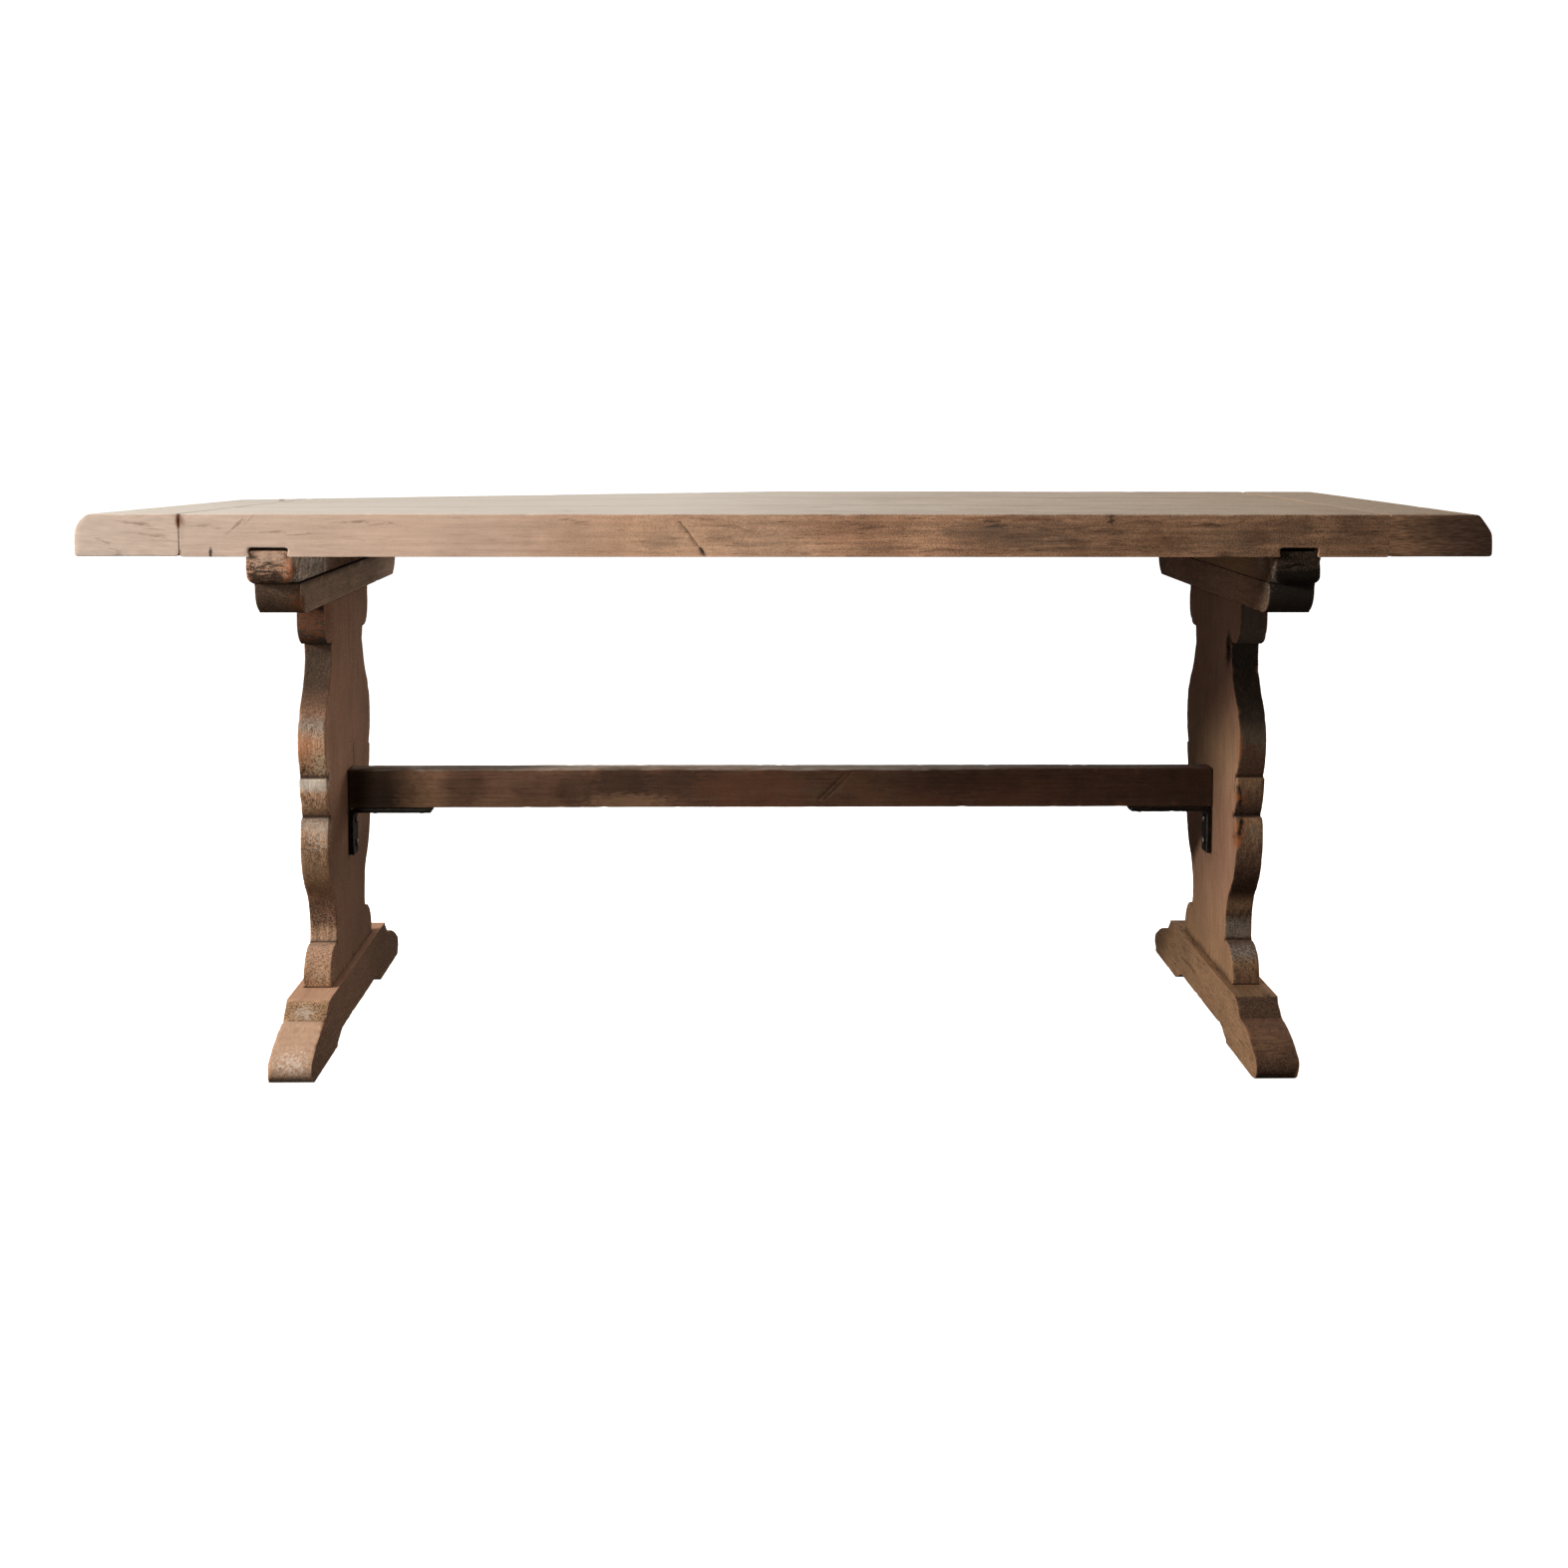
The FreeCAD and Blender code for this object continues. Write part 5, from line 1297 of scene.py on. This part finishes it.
class TRESTLE_OT_brackets(bpy.types.Operator):
    """Build the bent steel brackets"""

    bl_idname = "trestle.brackets"
    bl_label = "Brackets"

    def execute(self, context):
        material = black_steel()
        for name, side in SIDES.items():
            node = f"bracket_{name}"
            low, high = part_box(node)
            corners = face_outline(node, 1, -1)
            outer = (side * max(abs(low.x), abs(high.x)), high.z)
            inner = (outer[0] - side * STRIP_THICKNESS, outer[1] - STRIP_THICKNESS)
            for place, radius in zip((outer, inner), BEND_RADII):
                corner = min(corners, key=lambda point: math.dist(point, place))
                corners = bent(corners, corners.index(corner), radius)
            mesh = worn_board(f"bent_bracket_{name}", corners, 1, low.y, high.y, 0,
                              step=2 * MM, row_step=3 * MM, face_step=3 * MM, dents=14,
                              chip_count=0)
            dress(mesh, material, "black_steel", node)
        return {"FINISHED"}


def islands(node):
    """Lowest and highest corner of each separate solid in a CAD node."""
    shape = bmesh.new()
    shape.from_mesh(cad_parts[node].data)
    bmesh.ops.remove_doubles(shape, verts=shape.verts, dist=WELD)
    left, boxes = set(shape.verts), []
    for seed in list(shape.verts):
        if seed not in left:
            continue
        group, edge = [], [seed]
        left.discard(seed)
        while edge:
            vert = edge.pop()
            group.append(vert.co.copy())
            for link in vert.link_edges:
                other = link.other_vert(vert)
                if other in left:
                    left.discard(other)
                    edge.append(other)
        places = np.array(group)
        boxes.append((Vector(places.min(0)), Vector(places.max(0))))
    shape.free()
    return sorted(boxes, key=lambda box: tuple(round(value, 4) for value in box[0]))


def lathe(profile, turns, wobble=None):
    """Closed turned solid about Z from (radius, height) points that start and end at the axis.
    wobble multiplies the radius at each turn."""
    shape = bmesh.new()
    wobble = wobble or [1.0] * turns
    angles = [math.tau * k / turns for k in range(turns)]
    rows = [[shape.verts.new((radius * math.cos(angle) * share, radius * math.sin(angle) * share,
                              height)) for angle, share in zip(angles, wobble)]
            for radius, height in profile[1:-1]]
    first = shape.verts.new((0, 0, profile[0][1]))
    last = shape.verts.new((0, 0, profile[-1][1]))
    for k in range(turns):
        after = (k + 1) % turns
        shape.faces.new((first, rows[0][after], rows[0][k]))
        shape.faces.new((last, rows[-1][k], rows[-1][after]))
        for low, high in zip(rows, rows[1:]):
            shape.faces.new((low[k], low[after], high[after], high[k]))
    bmesh.ops.recalc_face_normals(shape, faces=shape.faces)
    return shape


def gather(name, shapes):
    """One mesh from several placed shapes, each given as (bmesh, matrix)."""
    whole = bmesh.new()
    grime_and_shade = whole.verts.layers.float.new("grime_and_shade")
    for shape, matrix in shapes:
        slots = shape.verts.layers.float.get("grime_and_shade")
        made = {}
        for vert in shape.verts:
            made[vert] = whole.verts.new(matrix @ vert.co)
            if slots:
                made[vert][grime_and_shade] = vert[slots]
        for face in shape.faces:
            whole.faces.new([made[vert] for vert in face.verts])
        shape.free()
    bmesh.ops.recalc_face_normals(whole, faces=whole.faces)
    mesh = bpy.data.meshes.new(name)
    whole.to_mesh(mesh)
    whole.free()
    mesh.shade_smooth()
    return mesh


def slotted_screw(radius, rise, shank_radius, shank_length):
    """Round-headed screw that stands on Z zero, with a straight slot across its head."""
    slot = 0.16 * radius
    profile = [(0.0, -shank_length), (0.3 * shank_radius, -shank_length),
               (shank_radius, -0.85 * shank_length), (shank_radius, -0.1 * rise),
               (0.92 * radius, 0.0), (radius, 0.12 * rise), (0.93 * radius, 0.45 * rise),
               (0.72 * radius, 0.78 * rise), (0.42 * radius, 0.95 * rise), (0.0, rise)]
    shape = lathe(profile, 28)
    for offset in (-slot, -0.8 * slot, 0.8 * slot, slot):
        bmesh.ops.bisect_plane(shape, geom=shape.verts[:] + shape.edges[:] + shape.faces[:],
                               plane_co=(0, offset, 0), plane_no=(0, 1, 0), dist=WELD / 10)
    grime_and_shade = shape.verts.layers.float.new("grime_and_shade")
    for vert in shape.verts:
        if abs(vert.co.y) <= 0.81 * slot and vert.co.z > 0.3 * rise:
            vert.co.z = 0.35 * rise
            vert[grime_and_shade] = 1.0
    return shape


HEAD_RISE, SHANK_RADIUS = 3 * MM, 2.5 * MM


class TRESTLE_OT_screws(bpy.types.Operator):
    """Build the slotted screws of the brackets"""

    bl_idname = "trestle.screws"
    bl_label = "Bracket screws"

    def execute(self, context):
        material = tarnished_steel()
        for name, side in SIDES.items():
            node = f"bracket_screws_{name}"
            rng = random.Random(zlib.crc32(node.encode()))
            shapes = []
            for low, high in islands(node):
                size = high - low
                middle = (low + high) / 2
                level = size.x > size.z
                across = (size.z if level else size.x) / 2
                if level:
                    crown = high.x if side < 0 else low.x
                    seat = Vector((crown + side * HEAD_RISE, middle.y, middle.z))
                    out = Vector((-side, 0, 0))
                    long = size.x - HEAD_RISE
                else:
                    seat = Vector((middle.x, middle.y, low.z + HEAD_RISE))
                    out = Vector((0, 0, -1))
                    long = size.z - HEAD_RISE
                turn = out.to_track_quat("Z", "Y").to_matrix().to_4x4()
                spin = Matrix.Rotation(rng.uniform(0, math.pi), 4, "Z")
                screw = slotted_screw(across, HEAD_RISE, SHANK_RADIUS, long)
                shapes.append((screw, Matrix.Translation(seat) @ turn @ spin))
            mesh = gather(f"slotted_screws_{name}", shapes)
            dress(mesh, material, "steel_screw", node)
        return {"FINISHED"}


class TRESTLE_OT_pegs(bpy.types.Operator):
    """Build the whittled pegs, and give the hidden joinery its oak"""

    bl_idname = "trestle.pegs"
    bl_label = "Pegs and hidden joinery"

    def execute(self, context):
        material = peg_oak()
        sides = 14
        groups = [f"{kind}_pegs_{name}" for kind in ("head", "foot", "end_board") for name in SIDES]
        for node in groups:
            rng = random.Random(zlib.crc32(node.encode()))
            shapes = []
            for low, high in islands(node):
                size = high - low
                axis = max(range(3), key=lambda i: size[i])
                long = size[axis]
                radius = min(size) / 2
                facing = Vector([1.0 if i == axis else 0.0 for i in range(3)])
                if axis == 0 and low.x < 0 or axis == 2:
                    facing.negate()
                start = (low + high) / 2 - facing * long / 2
                wobble = [1 - rng.uniform(0.0, 0.07) for _ in range(sides)]
                profile = [(0.0, 0.0), (0.7 * radius, 0.0), (0.92 * radius, 3 * MM),
                           (radius, 8 * MM), (radius, long - 1.6 * MM),
                           (0.9 * radius, long - 0.4 * MM), (0.5 * radius, long - 0.1 * MM),
                           (0.0, long)]
                turn = facing.to_track_quat("Z", "Y").to_matrix().to_4x4()
                shapes.append((lathe(profile, sides, wobble), Matrix.Translation(start) @ turn))
            mesh = gather(f"whittled_{node}", shapes)
            dress(mesh, material, "oak_peg", node)
        for node in ("plank_spline_front", "plank_spline_back",
                     "batten_dowels_left", "batten_dowels_right"):
            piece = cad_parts[node]
            piece.data.materials.clear()
            piece.data.materials.append(material)
        return {"FINISHED"}


# ---------------------------------------------------------------- stage

CAMERA_PLACE = Vector((-0.05394, -3.06668, 0.88000))
CAMERA_YAW, CAMERA_PITCH, CAMERA_ROLL = 0.0185, 0.0794, 0.0016
IMAGE_SIDE = 1573
AXIS_ROW = 584.27  # image row that the lens points at
FLOOR_RADIUS, FLOOR_BEND, WALL_HEIGHT = 6.5, 2.5, 6.0


def studio_floor():
    """Matt pale floor that sweeps up into a wall all round. It glows faintly, so that it stays
    pale where the light falls away."""
    rings, turns = 6, 72
    profile = [(FLOOR_RADIUS * k / rings, 0.0) for k in range(1, rings + 1)]
    profile += [(FLOOR_RADIUS + FLOOR_BEND * math.sin(angle), FLOOR_BEND * (1 - math.cos(angle)))
                for angle in (math.radians(10 * k) for k in range(1, 10))]
    profile += [(FLOOR_RADIUS + FLOOR_BEND, WALL_HEIGHT)]
    shape = bmesh.new()
    centre = shape.verts.new((0, 0, 0))
    rows = [[shape.verts.new((radius * math.cos(math.tau * k / turns),
                              radius * math.sin(math.tau * k / turns), height))
             for k in range(turns)] for radius, height in profile]
    for k in range(turns):
        after = (k + 1) % turns
        shape.faces.new((centre, rows[0][k], rows[0][after]))
        for low, high in zip(rows, rows[1:]):
            shape.faces.new((low[k], high[k], high[after], low[after]))
    mesh = bpy.data.meshes.new("studio_floor")
    shape.to_mesh(mesh)
    shape.free()
    mesh.shade_smooth()
    floor = bpy.data.objects.new("studio_floor", mesh)
    bpy.context.scene.collection.objects.link(floor)
    material, tree = new_material("floor_painted_matt")
    mottle = add(tree, "TexNoise", {"Vector": add(tree, "TexCoord").outputs["Object"],
                                    "Scale": 1.2, "Detail": 3.0}).outputs["Fac"]
    body = add(tree, "MapRange", {"Value": mottle, "To Min": 0.80, "To Max": 0.84}).outputs[0]
    surface = add(tree, "BsdfPrincipled", {"Base Color": body, "Roughness": 0.9,
                                           "Emission Color": (1.0, 0.99, 0.975, 1.0),
                                           "Emission Strength": 1.10})
    add(tree, "OutputMaterial", {"Surface": surface.outputs[0]})
    mesh.materials.append(material)
    floor.visible_diffuse = False
    floor.visible_glossy = False


def aim(thing, place, target):
    thing.location = place
    thing.rotation_euler = (Vector(target) - Vector(place)).to_track_quat("-Z", "Y").to_euler()


def add_light(name, kind, place, target, power, tint, **settings):
    light = bpy.data.lights.new(name, kind)
    light.energy = power
    light.color = paint(tint)
    for key, setting in settings.items():
        setattr(light, key, setting)
    lamp = bpy.data.objects.new(name, light)
    bpy.context.scene.collection.objects.link(lamp)
    aim(lamp, place, target)


class TRESTLE_OT_stage(bpy.types.Operator):
    """Set up the floor, the lights and the camera"""

    bl_idname = "trestle.stage"
    bl_label = "Stage"

    def execute(self, context):
        settings = context.scene.stage_settings
        context.scene.view_settings.view_transform = "Standard"
        studio_floor()
        add_light("window_light", "SPOT", (-3.1, -1.25, 1.55), (-0.5, -0.3, 0.5),
                  settings.window_power, "#fff8f0", shadow_soft_size=0.30,
                  spot_size=math.radians(60), spot_blend=1.0)
        add_light("front_light", "SPOT", (-1.3, -3.6, 1.0), (-0.38, -0.4, 0.82),
                  settings.front_power, "#fff8f0", shadow_soft_size=0.40,
                  spot_size=math.radians(27), spot_blend=1.0)
        add_light("ceiling_light", "AREA", (-0.25, 0.3, 2.85), (-0.2, 0.1, 0.7),
                  settings.ceiling_power, "#fffaf4", shape="RECTANGLE", size=3.0, size_y=2.1)
        add_light("right_fill", "AREA", (3.4, 1.2, 0.7), (-0.6, 0.0, 0.45),
                  settings.right_power, "#fff0e2", shape="RECTANGLE", size=1.6, size_y=1.2)
        add_light("low_fill_right", "AREA", (3.8, -0.45, 0.5), (-0.6, -0.2, 0.5),
                  settings.low_power, "#fff0e2", shape="RECTANGLE", size=0.9, size_y=0.9)
        add_light("low_fill_left", "AREA", (-3.6, -0.3, 0.35), (0.6, -0.1, 0.45),
                  settings.low_power / 2, "#fff0e2", shape="RECTANGLE", size=0.9, size_y=0.9)
        add_light("back_fill", "AREA", (1.2, 3.4, 1.6), (0.0, 0.0, 0.45),
                  settings.back_power, "#fff6ee", shape="RECTANGLE", size=2.4, size_y=1.6)
        world = bpy.data.worlds.new("room")
        context.scene.world = world
        world.use_nodes = True
        sky = world.node_tree.nodes["Background"]
        sky.inputs["Color"].default_value = (1.0, 0.96, 0.92, 1.0)
        sky.inputs["Strength"].default_value = 0.05
        lens = bpy.data.cameras.new("camera")
        lens.sensor_width = 36.0
        lens.lens = settings.lens
        lens.shift_y = (AXIS_ROW - IMAGE_SIDE / 2) / IMAGE_SIDE
        camera = bpy.data.objects.new("camera", lens)
        context.scene.collection.objects.link(camera)
        ahead = Vector((math.sin(CAMERA_YAW) * math.cos(CAMERA_PITCH),
                        math.cos(CAMERA_YAW) * math.cos(CAMERA_PITCH), -math.sin(CAMERA_PITCH)))
        level = Vector((math.cos(CAMERA_YAW), -math.sin(CAMERA_YAW), 0.0))
        upright = level.cross(ahead)
        across = level * math.cos(CAMERA_ROLL) + upright * math.sin(CAMERA_ROLL)
        above = upright * math.cos(CAMERA_ROLL) - level * math.sin(CAMERA_ROLL)
        turn = Matrix((across, above, -ahead)).transposed().to_4x4()
        camera.matrix_world = Matrix.Translation(CAMERA_PLACE) @ turn
        context.scene.camera = camera
        return {"FINISHED"}


# ---------------------------------------------------------------- panel and registration

STEPS = (TRESTLE_OT_planks, TRESTLE_OT_end_boards, TRESTLE_OT_battens, TRESTLE_OT_head_rails,
         TRESTLE_OT_posts, TRESTLE_OT_feet, TRESTLE_OT_stretcher, TRESTLE_OT_brackets,
         TRESTLE_OT_screws, TRESTLE_OT_pegs, TRESTLE_OT_stage)
GROUPS = {"table_wear": TableWear, "oak_colours": OakColours, "steel_colours": SteelColours,
          "stage_settings": StageSettings}


class TRESTLE_PT_panel(bpy.types.Panel):
    """Lists the table's settings and steps"""

    bl_idname = "TRESTLE_PT_panel"
    bl_label = "Trestle table"
    bl_space_type = "VIEW_3D"
    bl_region_type = "UI"
    bl_category = "Trestle table"

    def draw(self, context):
        for key, group in GROUPS.items():
            box = self.layout.box()
            for setting in group.__annotations__:
                box.prop(getattr(context.scene, key), setting)
        for step in STEPS:
            self.layout.operator(step.bl_idname)


def register():
    for item in (*GROUPS.values(), *STEPS, TRESTLE_PT_panel):
        bpy.utils.register_class(item)
    for key, group in GROUPS.items():
        setattr(bpy.types.Scene, key, PointerProperty(type=group))


def unregister():
    for key in GROUPS:
        delattr(bpy.types.Scene, key)
    for item in reversed((*GROUPS.values(), *STEPS, TRESTLE_PT_panel)):
        bpy.utils.unregister_class(item)


def main():
    register()
    bpy.ops.trestle.planks()
    bpy.ops.trestle.end_boards()
    bpy.ops.trestle.battens()
    bpy.ops.trestle.head_rails()
    bpy.ops.trestle.posts()
    bpy.ops.trestle.feet()
    bpy.ops.trestle.stretcher()
    bpy.ops.trestle.brackets()
    bpy.ops.trestle.screws()
    bpy.ops.trestle.pegs()
    bpy.ops.trestle.stage()


if __name__ == "__main__":
    main()
